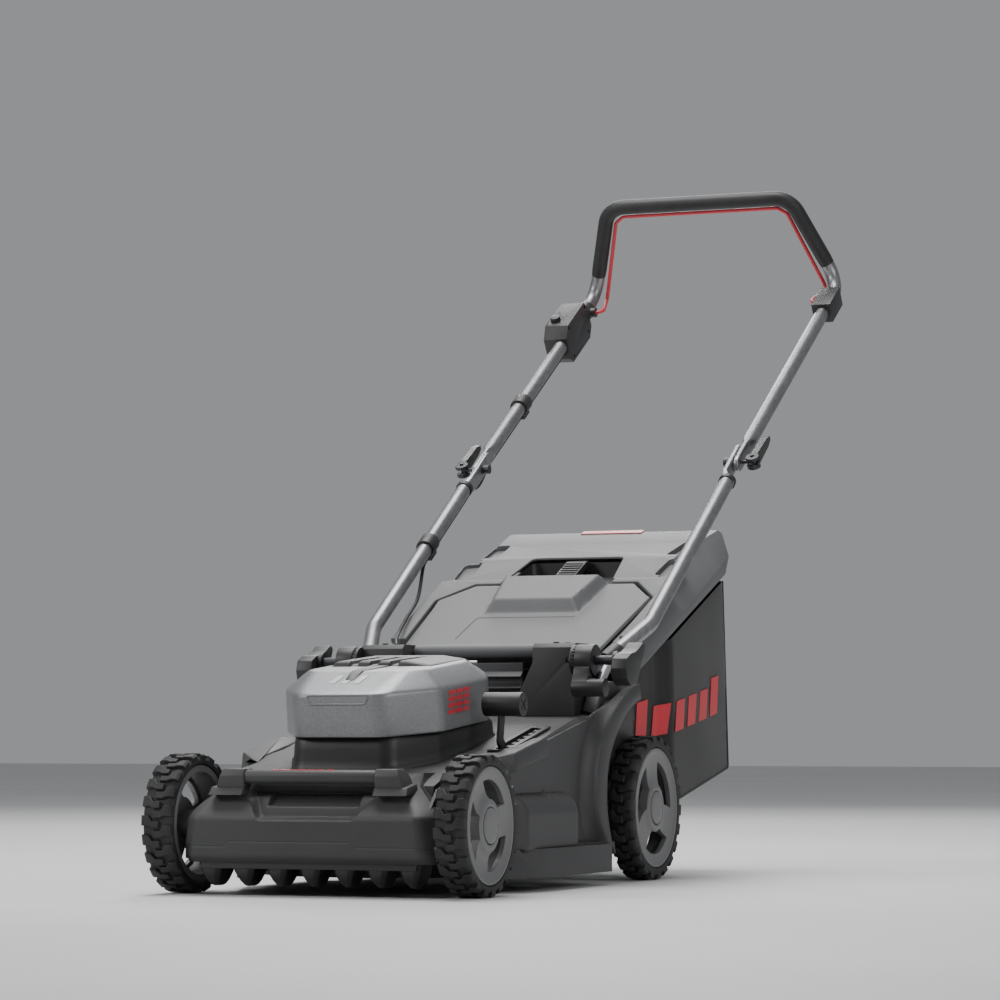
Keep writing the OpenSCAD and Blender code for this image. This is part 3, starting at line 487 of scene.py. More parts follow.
def rounded_path(points, radius, steps=9):
    """Points of a path whose corners are rounded to arcs."""
    points = [Vector(p) for p in points]
    path = [points[0]]
    for before, corner, after in zip(points, points[1:], points[2:]):
        come, leave = (corner - before).normalized(), (after - corner).normalized()
        turn = come.angle(leave)
        inward = (leave - come * come.dot(leave)).normalized()
        centre = corner - come * radius * math.tan(turn / 2) + inward * radius
        for i in range(steps + 1):
            a = turn * i / steps
            path.append(centre - inward * radius * math.cos(a) + come * radius * math.sin(a))
    return path + [points[-1]]


def refine_path(path, step):
    """The same path with points at most step apart."""
    fine = [path[0]]
    for a, b in zip(path, path[1:]):
        parts = max(1, math.ceil((b - a).length / step))
        fine += [a.lerp(b, i / parts) for i in range(1, parts + 1)]
    return fine


def tube_piece(name, path, shape, sides=24):
    """Tube along a path. shape(i, s) gives half width, half height, sideways shift and squareness."""
    rings = []
    first = (path[1] - path[0]).normalized()
    side = Vector((1, 0, 0)) if abs(first.x) < 0.9 else Vector((0, 0, 1))
    s = 0.0
    for i, p in enumerate(path):
        ahead = (path[min(i + 1, len(path) - 1)] - path[max(i - 1, 0)]).normalized()
        side = (side - ahead * side.dot(ahead)).normalized()
        up = ahead.cross(side)
        if i:
            s += (p - path[i - 1]).length
        a, b, shift, square = shape(i, s)
        ring = []
        for k in range(sides):
            t = 2 * math.pi * k / sides
            c, d = math.cos(t), math.sin(t)
            u = a * math.copysign(abs(c) ** (2 / square), c)
            v = b * math.copysign(abs(d) ** (2 / square), d)
            q = p + side * (u + shift) + up * v
            ring.append(at(*q))
        rings.append(ring)
    return rings_piece(name, rings, sharp=40)


def plain_tube(name, path, radius, sides=20):
    return tube_piece(name, path, lambda i, s: (radius, radius, 0, 2), sides)


def join_pieces(name, pieces):
    """One piece from several, before it gets its material."""
    bm = bmesh.new()
    for piece in pieces:
        bm.from_mesh(piece.data)
    mesh = bpy.data.meshes.new(name)
    bm.to_mesh(mesh)
    bm.free()
    for piece in pieces:
        bpy.data.objects.remove(piece)
    smooth_by_angle(mesh, 38)
    joined = bpy.data.objects.new(name, mesh)
    bpy.context.scene.collection.objects.link(joined)
    return joined


def mirror_copy(name, piece):
    mesh = piece.data.copy()
    mesh.transform(Matrix.Scale(-1, 4, (1, 0, 0)))
    mesh.flip_normals()
    copy = bpy.data.objects.new(name, mesh)
    bpy.context.scene.collection.objects.link(copy)
    return copy


def prism(name, outline, axis, low, high):
    """Solid from an outline, in millimetres: (y, z) along x, (x, z) along y, or (x, y) along z."""
    def corner(p, depth):
        x, y, z = {"x": (depth, p[0], p[1]), "y": (p[0], depth, p[1]), "z": (p[0], p[1], depth)}[axis]
        return at(x, y, z)
    return rings_piece(name, [[corner(p, d) for p in outline] for d in (low, high)])


def arc(centre, radius, start, end, steps):
    return [
        (centre[0] + radius * math.cos(math.radians(start + (end - start) * i / steps)),
         centre[1] + radius * math.sin(math.radians(start + (end - start) * i / steps)))
        for i in range(steps + 1)
    ]


# ---------------------------------------------------------------- wheels
def on_wheel(wheel, side, radius, depth, angle):
    """Point on a wheel: depth outwards from its middle plane, angle in radians from +y upwards."""
    return at(side * (wheel["x"] + depth), wheel["y"] + radius * math.cos(angle),
              wheel["radius"] + radius * math.sin(angle))


def turned(name, wheel, side, profile, steps=96, closed=True):
    """Solid of revolution about a wheel's axle, from (radius, depth) points."""
    rings = [
        [on_wheel(wheel, side, r, d, 2 * math.pi * i / steps) for r, d in profile]
        for i in range(steps)
    ]
    count = len(profile)
    points = [p for ring in rings for p in ring]
    faces = []
    for i in range(steps):
        a, b = i * count, (i + 1) % steps * count
        for k in range(count if closed else count - 1):
            m = (k + 1) % count
            faces.append((a + k, a + m, b + m, b + k))
    return piece_from(name, points, faces, 24)


def tread_outlines(half, pitch):
    """Outlines of the left and right lugs of one pitch, as (depth, distance round) points; their tips interlock."""
    left = [
        (-1, 0), (-0.5, 0), (-0.25, 0.3), (0.25, 0.3), (0.25, 0.72), (-0.3, 0.72), (-0.5, 0.62), (-1, 0.62)
    ]
    right = [(-depth, turn + 0.5) for depth, turn in reversed(left)]
    return [[(depth * half, turn * pitch) for depth, turn in lug] for lug in (left, right)]


def shrunk(outline, gap):
    """Outline moved inwards by gap, for corners that aren't sharp."""
    result = []
    count = len(outline)
    area = sum(a[0] * b[1] - b[0] * a[1] for a, b in zip(outline, outline[1:] + outline[:1]))
    flip = 1 if area > 0 else -1
    for i in range(count):
        p, q, r = Vector(outline[i - 1]), Vector(outline[i]), Vector(outline[(i + 1) % count])
        come, leave = (q - p).normalized(), (r - q).normalized()
        n1, n2 = Vector((-come.y, come.x)) * flip, Vector((-leave.y, leave.x)) * flip
        bisector = n1 + n2
        move = bisector * (gap / max(0.35, 1 + n1.dot(n2)))
        result.append(tuple(q + move))
    return result


def tyre(tag, wheel, side):
    r, half, bead = wheel["radius"], wheel["width"] / 2, wheel["bead"]
    middle = (r + bead) / 2
    profile = [
        (bead, 3 - half), (bead + 1.5, 0.7 - half), (middle - 2, -half), (r - 8, 0.6 - half), (r - 5.4, 2.6 - half),
        (r - 4.4, 6 - half), (r - 4.2, 0), (r - 4.4, half - 6), (r - 5.4, half - 2.6), (r - 8, half - 0.6),
        (middle - 2, half), (bead + 1.5, half - 0.7), (bead, half - 3)
    ]
    carcass = turned(f"wheel_{tag}_carcass", wheel, side, profile)
    pitch = 2 * math.pi * r / TREAD_BLOCKS
    points, faces = [], []
    for i in range(TREAD_BLOCKS):
        for outline in tread_outlines(half, pitch):
            inset = shrunk(outline, 1.15)
            crown = shrunk(outline, 2.0)
            layers = []
            for radius, ring, edge in ((r - 9, inset, 0.1), (r - 2.6, inset, 0.1), (r - 0.7, inset, 2.3), (r, crown, 3.4)):
                layer = []
                for (depth, _), (d, u) in zip(outline, ring):
                    if abs(depth) == half:
                        d = math.copysign(half - edge, depth)
                    layer.append((radius, d, (u + i * pitch) / r))
                layers.append(layer)
            start = len(points)
            count = len(outline)
            for layer in layers:
                points += [on_wheel(wheel, side, *p) for p in layer]
            for level in range(len(layers) - 1):
                for k in range(count):
                    m = (k + 1) % count
                    a = start + level * count
                    faces.append((a + k, a + m, a + count + m, a + count + k))
            faces.append(tuple(range(start + (len(layers) - 1) * count, start + len(layers) * count)))
            faces.append(tuple(range(start, start + count)))
    blocks = piece_from(f"wheel_{tag}_blocks", points, faces, 25)
    whole = join_pieces(f"wheel_{tag}_tread_tyre", [carcass, blocks])
    return finish_piece(whole, "tyre", f"wheel_{tag}", [f"wheel_{tag}_tyre"])


def rim(tag, wheel, side):
    half, r = wheel["width"] / 2, wheel["bead"] - 0.3
    profile = [
        (HUB_BORE, 2 - half), (16, 2 - half), (17, half - 17), (30, half - 15.5), (r - 12, half - 10),
        (r - 8, 2 - half), (r, 2 - half), (r, half - 1.6), (r - 0.8, half - 0.8), (r - 3.4, half - 0.8),
        (r - 4.6, half - 1.8), (0.88 * r, half - 3.2), (0.76 * r, half - 4.6), (0.62 * r, half - 5.6),
        (0.52 * r, half - 5.4), (36, half - 4.4), (33, half - 2.6), (30.5, half - 1.5), (27.5, half - 1.0),
        (24.6, half - 1.0), (23.8, half - 1.6), (23.6, half - 6), (HUB_BORE, half - 6)
    ]
    disc = turned(f"wheel_{tag}_disc", wheel, side, profile, 120)
    outer = 0.78 * r
    for i in range(3):
        turn = math.radians(wheel["spokes"] + 72 + 120 * i)
        corners = [(outer, a) for a in range(-36, 45, 4)] + [(33.5, a) for a in (27, 14, 0, -12, -25)]
        rings = []
        for depth in (-half, half):
            rings.append([
                on_wheel(wheel, side, radius, depth, wheel_angle(turn + math.radians(a)))
                for radius, a in corners
            ])
        cut(disc, rings_piece("window", rings))
    smooth_by_angle(disc.data, 24)
    cap = turned(f"wheel_{tag}_cap", wheel, side, [
        (0.4, half + 0.35), (12, half + 0.3), (20.6, half + 0.1), (22.2, half - 0.4), (22.8, half - 1.4), (22.8, half - 5.4),
        (0.4, half - 5.4)
    ], 72)
    notch = rings_piece("cap_notch", [
        [on_wheel(wheel, side, radius, depth, math.radians(a)) for radius, a in ((19.4, -5), (30, -4), (30, 4), (19.4, 5))]
        for depth in (half - 3, half + 3)
    ])
    cut(cap, notch)
    whole = join_pieces(f"wheel_{tag}_spoked_rim", [disc, cap])
    return finish_piece(whole, "wheel_grey", f"wheel_{tag}", [f"wheel_{tag}_rim"])


def wheel_angle(turn):
    """The CAD turns a rim about the wheel's own axis, which starts pointing down."""
    return turn - math.pi / 2


def add_wheels():
    for tag, wheel, side in (("fr", FRONT, RIGHT), ("fl", FRONT, LEFT), ("rr", REAR, RIGHT), ("rl", REAR, LEFT)):
        tyre(tag, wheel, side)
        rim(tag, wheel, side)


# ---------------------------------------------------------------- handle
def blend_in(s, start, end):
    t = max(0.0, min(1.0, (s - start) / (end - start)))
    return t * t * (3 - 2 * t)


def flattened(s, start, end, thickness, height, shift):
    """Cross-section that goes from round to flat between start and end."""
    t = blend_in(s, start, end)
    return (
        TUBE_R + (thickness / 2 - TUBE_R) * t, TUBE_R + (height / 2 - TUBE_R) * t, shift * t, 2 + 3 * t
    )


def end_round(s, total, height):
    """Half height near a rounded end."""
    left = max(0.0, total - s)
    if left > height / 2:
        return 1.0
    return max(0.05, math.sqrt(max(0.0, 1 - ((height / 2 - left) / (height / 2)) ** 2)))


def path_length(path):
    return sum((b - a).length for a, b in zip(path, path[1:]))


def lower_tube():
    path = rounded_path([(183, 514, 307), (211, 594, 354), lower(40)], 52)
    path = refine_path(path[:-1] + [Vector(lower(-75)), Vector(lower(24))], 400)
    tail = [Vector(lower(s)) for s in (-70, -62, -54, -46, -40, 0, 20, 28, 31, 34, 36, 38, 39.3, 40)]
    path = path[:-1] + tail
    total = path_length(path)

    def shape(i, s):
        a, b, shift, square = flattened(s, total - 102, total - 78, 8, 24, -6.6)
        return a, b * end_round(s, total, 24), shift, square

    return tube_piece("lower_tube", path, shape)


def add_lower_tubes():
    right = lower_tube()
    left = mirror_copy("lower_tube_left", right)
    both = join_pieces("lower_tube_pair", [right, left])
    finish_piece(both, "tube_metal", "lower_handle", ["lower_tubes"])


LOOP = [(211, 1014.1, 632.9), (211, 1477.8, 928.9), (156, 1390, 1061)]


def add_upper_tube():
    half = [Vector(upper(s)) for s in (-18, -17.3, -16, -14, -12, -9, -4, 0, 20, 42, 48, 54, 60, 68)]
    whole = half[:-1] + rounded_path([upper(68), LOOP[1], LOOP[2], mirrored(LOOP[2]), mirrored(LOOP[1]),
                                      mirrored(upper(68))], 38, 12) + [Vector(mirrored(p)) for p in reversed(half[:-1])]
    total = path_length(whole)

    def shape(i, s):
        near = min(s, total - s)
        flat = 1 - blend_in(near, 60, 84)
        a = TUBE_R + (4 - TUBE_R) * flat
        b = TUBE_R + (12 - TUBE_R) * flat
        shift = 2 * flat * (1 if s < total / 2 else -1)
        return a, b * end_round(total - near, total, 24), shift, 2 + 3 * flat

    piece = tube_piece("upper_tube_loop", whole, shape)
    finish_piece(piece, "tube_metal", "upper_handle", ["upper_tube"])


def add_grip():
    start = (197.9, 1456.9, 960.4)
    path = rounded_path([start, LOOP[2], mirrored(LOOP[2]), mirrored(start)], 38, 12)
    path = refine_path(path, 12)
    total = path_length(path)

    def shape(i, s):
        near = min(s, total - s)
        lip = 0.55 * math.exp(-((near - 3) / 3) ** 2)
        radius = TUBE_R + 1.05 + lip if near > 1 else TUBE_R + 0.4
        return radius, radius, 0, 2

    grip = tube_piece("hand_grip", path, shape, 28)
    finish_piece(grip, "grip_foam", "upper_handle", ["grip_sleeve"])


def add_bail():
    half = [
        (198.5,) + BAIL_PIVOT, (178,) + BAIL_PIVOT, (190.5, 1477, 923), (147.5, 1405.2, 1038.1), (132.9, 1399.4, 1046.8)
    ]
    path = rounded_path(half + [mirrored(p) for p in reversed(half)], 9, 6)
    bail = plain_tube("switch_bail", path, BAIL_R, 16)
    finish_piece(bail, "red", "bail", ["bail_rod"])


def add_fold_bolts():
    """Short steel tubes between the handle's feet and the lower tubes, the clamp bolts and the chunky cam levers."""
    tubes, bolts = [], []
    for side in (RIGHT, LEFT):
        tubes.append(plain_tube("stub", refine_path([Vector((side * x, y, z)) for x, y, z in (
            (201, 424, 268), (184, 512, 306))], 20), 6.2, 20))
        for (y, z), start in (((441, 302), 150), (MIDDLE_JOINT, 194)):
            bolts.append(plain_tube("bolt", [Vector((side * start, y, z)), Vector((side * 236, y, z))], 3, 14))
        for radius, start, end, place in (
            (7, 190, 200, MIDDLE_JOINT), (6.5, 190.5, 217, (441, 302)), (12, 217, 222.6, (441, 302))
        ):
            ends = [Vector((side * start, *place)), Vector((side * end, *place))]
            bolts.append(plain_tube("washer", ends, radius, 24))
    finish_piece(join_pieces("handle_foot_tubes", tubes), "steel", body_holding("handle_bolts"))
    finish_piece(join_pieces("clamp_bolts", bolts), "dark_steel", body_holding("handle_bolts"), ["handle_bolts"])
    outline = [
        (-27, -26), (-14, -35), (8, -32), (18, -19), (24, -6), (37, 8), (43, 20), (35, 25), (18, 16), (4, 11),
        (-12, 9), (-27, 2), (-31, -12)
    ]
    for side, tag in ((RIGHT, "r"), (LEFT, "l")):
        shape = [(441 + y, 302 + z) for y, z in rounded_outline(outline, 5, 3)]
        low, high = sorted((side * 223, side * 246))
        lever = round_edges(prism(f"fold_cam_{tag}", shape, "x", low, high), 3.2)
        node = f"fold_lever_{tag}"
        finish_piece(lever, SLOT_OF[node], body_holding(node), [node])


def add_foot_housings():
    """Foot housings of the lower tubes, with the collars where the visible tubes end."""
    housing = cad_copy("lower_housings", "foot_housing_body")
    bm = bmesh.new()
    bm.from_mesh(housing.data)
    behind = at(0, 445, 0)[1]
    collars = [v for v in bm.verts if abs(v.co.x) > 0.195 and v.co.y > behind]
    bmesh.ops.delete(bm, geom=collars, context="VERTS")
    bm.to_mesh(housing.data)
    bm.free()
    pieces = [round_edges(housing, 1.5)]
    for side in (RIGHT, LEFT):
        ends = [Vector((side * x, y, z)) for x, y, z in ((179.5, 504, 301), (188.5, 530, 316.5))]
        collar = plain_tube("foot_collar", refine_path(ends, 8), 13.5, 32)
        pieces.append(round_edges(collar, 2))
    whole = join_pieces("foot_housings", pieces)
    finish_piece(whole, SLOT_OF["lower_housings"], body_holding("lower_housings"), ["lower_housings"])


def under_tube(p, angle):
    """Point below the left tube, where the motor cable runs."""
    a = math.radians(angle)
    return (-p[0], p[1] + CABLE_DROP * math.sin(a), p[2] - CABLE_DROP * math.cos(a))


def smooth_curve(points, steps=7):
    """Catmull-Rom curve through the points."""
    pts = [Vector(p) for p in points]
    pts = [pts[0] * 2 - pts[1]] + pts + [pts[-1] * 2 - pts[-2]]
    curve = []
    for a, b, c, d in zip(pts, pts[1:], pts[2:], pts[3:]):
        for i in range(steps):
            t = i / steps
            curve.append(0.5 * (2 * b + (c - a) * t + (2 * a - 5 * b + 4 * c - d) * t * t
                                + (3 * b - a - 3 * c + d) * t ** 3))
    return curve + [pts[-2]]


def add_cables():
    top = plain_tube("cable_along_upper_tube", refine_path(
        [Vector(under_tube(upper(s), UPPER_ANGLE)) for s in (62, 412)], 30), CABLE_R, 14)
    finish_piece(top, "cable", "upper_handle", ["cable_upper"])
    low = plain_tube("cable_along_lower_tube", refine_path(
        [Vector(under_tube(lower(s), LOWER_ANGLE)) for s in (-240, -60)], 30), CABLE_R, 14)
    finish_piece(low, "cable", "lower_handle", ["cable_lower"])
    past = plain_tube("cable_past_middle_joint", smooth_curve([
        under_tube(lower(-60.5), LOWER_ANGLE), under_tube(lower(-40), LOWER_ANGLE), (-211, 982, 584),
        under_tube(upper(42), UPPER_ANGLE), under_tube(upper(62.5), UPPER_ANGLE)
    ]), CABLE_R, 14)
    finish_piece(past, "cable", None)
    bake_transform(past)
    joint_side = under_tube(lower(-262), LOWER_ANGLE)
    bow = plain_tube("cable_bow_to_deck", smooth_curve([
        under_tube(lower(-240.6), LOWER_ANGLE), (joint_side[0] + 2, joint_side[1] + 1, joint_side[2] - 1),
        (-196, 715, 400), (-180, 635, 366), (-160, 560, 338), (-132, 500, 324), (-112, 466, 318)
    ]), CABLE_R, 14)
    finish_piece(bow, "cable", None, ["cable_bow"])
    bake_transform(bow)


# ---------------------------------------------------------------- grass bag
def panel(corners, columns, rows, bulge):
    """Grid of points over four corners; bulge(u, v) moves a point along the panel's normal."""
    a, b, c, d = [Vector(p) for p in corners]
    normal = (b - a).cross(d - a).normalized()
    grid = []
    for j in range(rows + 1):
        v = j / rows
        for i in range(columns + 1):
            u = i / columns
            p = (a * (1 - u) + b * u) * (1 - v) + (d * (1 - u) + c * u) * v
            grid.append(p + normal * bulge(u, v))
    faces = []
    for j in range(rows):
        for i in range(columns):
            k = j * (columns + 1) + i
            faces.append((k, k + 1, k + columns + 2, k + columns + 1))
    return grid, faces


def bag_half(y):
    """Half width of the bag at y, without its bulge."""
    for (y0, x0), (y1, x1) in zip(BAG_SIDE, BAG_SIDE[1:]):
        if y <= y1:
            return x0 + (x1 - x0) * (y - y0) / (y1 - y0)
    return BAG_SIDE[-1][1]


def bag_top(y):
    return 296 + (y - 641) * math.tan(BAG_SLOPE)


def bag_floor(y):
    if y < 745:
        return 101 + (y - 641) * 3 / 104
    return 104 + (y - 745) * 48 / 244


def bag_side_point(y, v, bulge):
    """Point of the bag's right side at y, v of the way up, standing out by bulge."""
    return (bag_half(y) + bulge, y, bag_floor(y) + (bag_top(y) - bag_floor(y)) * v)


def side_bulge(y, v, waves=()):
    """How far the side stands out between its seams: little beside the wheel, more behind it."""
    u = max(0.0, min(1.0, (y - 700) / 280))
    ripple = sum(w[3] * math.sin(w[0] * 3 * u + w[1] * 4 * v + w[2]) for w in waves)
    return math.sqrt(max(0.0, math.sin(math.pi * u) * math.sin(math.pi * v))) * (3.5 + ripple)


def bag_side(waves):
    """Grid of the bag's right side, from its front frame to the back seam."""
    columns, rows = 48, 26
    grid = []
    for j in range(rows + 1):
        v = j / rows
        back = 989 - 22 * v
        for i in range(columns + 1):
            y = 641 + (back - 641) * i / columns
            grid.append(bag_side_point(y, v, side_bulge(y, v, waves)))
    faces = []
    for j in range(rows):
        for i in range(columns):
            k = j * (columns + 1) + i
            faces.append((k, k + 1, k + columns + 2, k + columns + 1))
    return grid, faces


def add_bag_fabric():
    rng = random.Random(7)
    waves = [(rng.uniform(1, 4), rng.uniform(1, 4), rng.uniform(0, 6.28), rng.uniform(0.3, 0.9)) for _ in range(7)]

    def bulge(depth):
        def at_point(u, v):
            edge = math.sin(math.pi * u) * math.sin(math.pi * v)
            ripple = sum(w[3] * math.sin(w[0] * 3 * u + w[1] * 4 * v + w[2]) for w in waves)
            return math.sqrt(max(0, edge)) * (depth + ripple)
        return at_point

    front_top, front_low = (BAG_FRONT_HALF, 641, 296), (BAG_FRONT_HALF, 641, 101)
    bend_low, knee_low = (173, 718, 103.2), (BAG_HALF - 0.5, 745, 104)
    back_top, back_low = (BAG_HALF - 0.5, 967, 429), (BAG_HALF - 0.5, 989, 152)
    points, faces = [], []

    def add_grid(grid, quads):
        start = len(points)
        points.extend(grid)
        faces.extend(tuple(start + k for k in quad) for quad in quads)

    for flip in (False, True):
        grid, quads = bag_side(waves)
        add_grid([mirrored(p) for p in grid] if flip else grid, quads)
    add_grid(*panel([mirrored(back_low), back_low, back_top, mirrored(back_top)], 40, 30, bulge(-3)))
    add_grid(*panel([mirrored(front_low), front_low, bend_low, mirrored(bend_low)], 34, 6, bulge(0)))
    add_grid(*panel([mirrored(bend_low), bend_low, knee_low, mirrored(knee_low)], 34, 2, bulge(0)))
    add_grid(*panel([mirrored(knee_low), knee_low, back_low, mirrored(back_low)], 40, 26, bulge(-3)))
    bag = piece_from("bag_cloth", [at(*p) for p in points], faces, 50)
    bm = bmesh.new()
    bm.from_mesh(bag.data)
    bmesh.ops.remove_doubles(bm, verts=bm.verts, dist=0.0008)
    bmesh.ops.recalc_face_normals(bm, faces=bm.faces)
    bm.to_mesh(bag.data)
    area = sum(face.calc_area() for face in bm.faces)
    bm.free()
    finish_piece(bag, "fabric", "bag", ["bag_fabric"])
    add_bag_seams([front_low, bend_low, knee_low, back_low, back_top], [front_top, front_low])
    return bag, area


def add_bag_seams(*lines):
    """Bound seams along the bag's sewn edges."""
    pieces = []
    for flip in (False, True):
        def side(p):
            return mirrored(p) if flip else p
        for index, points in enumerate(lines):
            path = rounded_path([side(p) for p in points], 6, 4) if len(points) > 2 else [Vector(side(p)) for p in points]
            pieces.append(plain_tube(f"seam_{index}_{flip}", refine_path(path, 20), 1.7, 10))
    corner = Vector(lines[0][3])
    pieces.append(plain_tube("seam_low", refine_path([Vector(mirrored(corner)), corner], 20), 1.7, 10))
    seams = join_pieces("bag_seam_binding", pieces)
    finish_piece(seams, "fabric", "bag")


# ---------------------------------------------------------------- hood
HOOD_PLACE = (26, 198)
HOOD_TILT = 5.7


def on_hood(x, y, z):
    """Point given in the hood's own frame, which is tilted up towards the back."""
    a = math.radians(HOOD_TILT)
    return at(x, HOOD_PLACE[0] + y * math.cos(a) - z * math.sin(a), HOOD_PLACE[1] + y * math.sin(a) + z * math.cos(a))


def rounded_outline(corners, radius, steps=6):
    """Closed outline whose corners are arcs, always with the same number of points."""
    result = []
    count = len(corners)
    for i in range(count):
        before, corner, after = Vector(corners[i - 1]), Vector(corners[i]), Vector(corners[(i + 1) % count])
        come, leave = (corner - before).normalized(), (after - corner).normalized()
        turn = come.angle(leave)
        reach = min(radius * math.tan(turn / 2), 0.45 * (corner - before).length, 0.45 * (after - corner).length)
        r = reach / math.tan(turn / 2)
        inward = (leave - come * come.dot(leave)).normalized()
        centre = corner - come * reach + inward * r
        for k in range(steps + 1):
            a = turn * k / steps
            result.append(tuple(centre - inward * r * math.cos(a) + come * r * math.sin(a)))
    return result


def hood_ring(inset, up):
    """Outline of the hood; up goes from 0 on the wall to 1 at the flat top."""
    half = 111 + (84 - 111) * up - inset
    nose = 61 + 5 * up - inset / 2
    front = 66 * up + inset
    shoulder = 79 + 17 * up
    back = 310 - 20 * up - inset
    corners = [
        (-nose, front), (nose, front), (half, shoulder), (half, 226), (half - 32, back), (32 - half, back),
        (-half, 226), (-half, shoulder)
    ]
    return rounded_outline(corners, 34 - 14 * up)


def add_hood():
    wall, top = 55, 79
    inside = [(top - 3, 3, 1.0), (wall - 2, 3, 0.0), (-0.5, 3, 0.0)]
    outside = [
        (-0.5, 1.2, 0), (0.6, 0.2, 0), (2.2, 0, 0), (26, 0, 0), (50, 0, 0), (52.6, 0.25, 0), (54.4, 0.4, 0.012),
        (56.2, 0.3, 0.06), (58.6, 0, 0.15), (66, 0, 0.46), (73, 0, 0.75), (76.2, 0.2, 0.885), (78, 0.7, 0.955),
        (78.8, 1.6, 0.985), (top, 3.2, 1.0)
    ]
    rings = [[on_hood(x, y, z) for x, y in hood_ring(inset, up)] for z, inset, up in inside + outside]
    shell = rings_piece("hood_painted_shell", rings)
    cut(shell, prism("battery_opening", [(-73, 156), (73, 156), (73, 302), (-73, 302)], "z", 250, 330))
    smooth_by_angle(shell.data, 34)
    finish_piece(shell, "hood_paint", "chassis", ["hood_shell"])
    add_hood_trim()


def add_neck():
    """Smooth waist between the deck and the hood, a little narrower than the hood."""
    def ring(z, inset):
        corners = [(-68, 32), (68, 32), (106, 112), (106, 292), (78, 322), (-78, 322), (-106, 292), (-106, 112)]
        outline = rounded_outline(corners, 26)
        centre = Vector((0, 180))
        result = []
        for x, y in outline:
            v = Vector((x, y)) - centre
            v *= 1 - inset / v.length
            low = 158.4 + (centre.y + v.y - 40) * 0.172
            high = 196.4 + (centre.y + v.y - 26) * 0.0998
            result.append(at(v.x, centre.y + v.y, low + (high - low) * z))
        return result
    levels = [(-0.15, -1.5), (0.0, -1.0), (0.05, 0.4), (0.12, 1.6), (0.3, 2.4), (0.6, 3.2), (0.85, 4.0), (1.0, 6.5), (1.12, 11)]
    neck = rings_piece("hood_neck", [ring(z, inset) for z, inset in levels])
    finish_piece(neck, SLOT_OF["motor_neck"], "chassis", ["motor_neck"])


def add_battery_lid():
    """Ribbed cover over the battery: a tilted slab with three wide grooves running back."""
    slope = math.tan(math.radians(4.6))
    columns, rows = 120, 60
    points, faces = [], []

    def height(x, y):
        top = 298.2 + (y - 166) * slope
        edge = min(71 - abs(x), (y - 158.5) * 1.0, (287.5 - y) * 1.0)
        drop = 7.0 * (1 - math.sqrt(max(0.0, 1 - (1 - min(1.0, max(0.0, edge) / 9)) ** 2)))
        groove = 0.0
        if y < 262:
            for centre in (-41, -12, 17):
                across = abs(x - centre) - 5.5 - (y - 158) * 0.012
                groove = max(groove, 1 / (1 + math.exp(max(-30, min(30, across * 2.2)))))
            groove *= 1 / (1 + math.exp((y - 252) * 0.9))
        chamfer = max(0.0, x - 34) * 0.16
        return top - drop - 5.2 * groove - chamfer

    for j in range(rows + 1):
        y = 158.5 + 129 * j / rows
        for i in range(columns + 1):
            x = -71 + 142 * i / columns
            points.append(at(x, y, height(x, y)))
    for j in range(rows + 1):
        y = 158.5 + 129 * j / rows
        for i in range(columns + 1):
            x = -71 + 142 * i / columns
            points.append(at(x, y, 284 + (y - 158.5) * 0.06))
    total = (rows + 1) * (columns + 1)
    for j in range(rows):
        for i in range(columns):
            k = j * (columns + 1) + i
            faces.append((k, k + 1, k + columns + 2, k + columns + 1))
            faces.append((total + k, total + k + columns + 1, total + k + columns + 2, total + k + 1))
    border = [i for i in range(columns)] + [j * (columns + 1) + columns for j in range(rows)]
    border += [rows * (columns + 1) + i for i in range(columns, 0, -1)] + [j * (columns + 1) for j in range(rows, 0, -1)]
    for a, b in zip(border, border[1:] + border[:1]):
        faces.append((a, b, total + b, total + a))
    lid = piece_from("battery_cover_ribbed", points, faces, 40)
    finish_piece(lid, SLOT_OF["battery_lid"], body_holding("battery_lid"), ["battery_lid"])


def add_accents():
    """Plain red fields in place of markings: bars on the lift bar, slanted bars on the bag, a strip on its lid."""
    bars = []
    for i, (low, high) in enumerate(((-53, -44), (-41, -30), (-27, -21), (-18, -8), (-5, 4), (8, 17), (22, 31))):
        bars.append(rings_piece(f"lift_mark_{i}", [
            [at(x, -52 + r * math.sin(math.radians(a)), 149 + r * math.cos(math.radians(a)))
             for r, a in ((8.9, -26), (9.35, -26), (9.35, -14), (9.35, -2), (9.35, 8), (8.9, 8))]
            for x in (low, high)
        ]))
    finish_piece(join_pieces("lift_bar_marks", bars), "red", "chassis")
    a = math.radians(17.5)
    strip = rings_piece("bag_lid_strip", [
        [at(x, 1004.4 + y * math.cos(a) - z * math.sin(a), 507.3 + y * math.sin(a) + z * math.cos(a))
         for y, z in ((-10, 0.2), (5, 0.2), (5, 1.4), (-10, 1.4))] for x in (-49, 49)
    ])
    finish_piece(strip, "red", "bag")
    marks = []
    for i in range(6):
        start, low = 652 + 49 * i, 190 + 7.5 * i
        tall = 56 if i in (0, 5) else 44

        def place(u, v, start=start, low=low, tall=tall):
            y = start + 33 * u + 7 * v
            z = low + 5 * u + tall * v
            up = (z - bag_floor(y)) / (bag_top(y) - bag_floor(y))
            return at(bag_half(y) + side_bulge(y, up) + 0.6, y, z)

        marks.append(skin(f"bag_mark_{i}", 8, 8, place, 0.9))
    finish_piece(join_pieces("bag_side_marks", marks), "red", "bag")


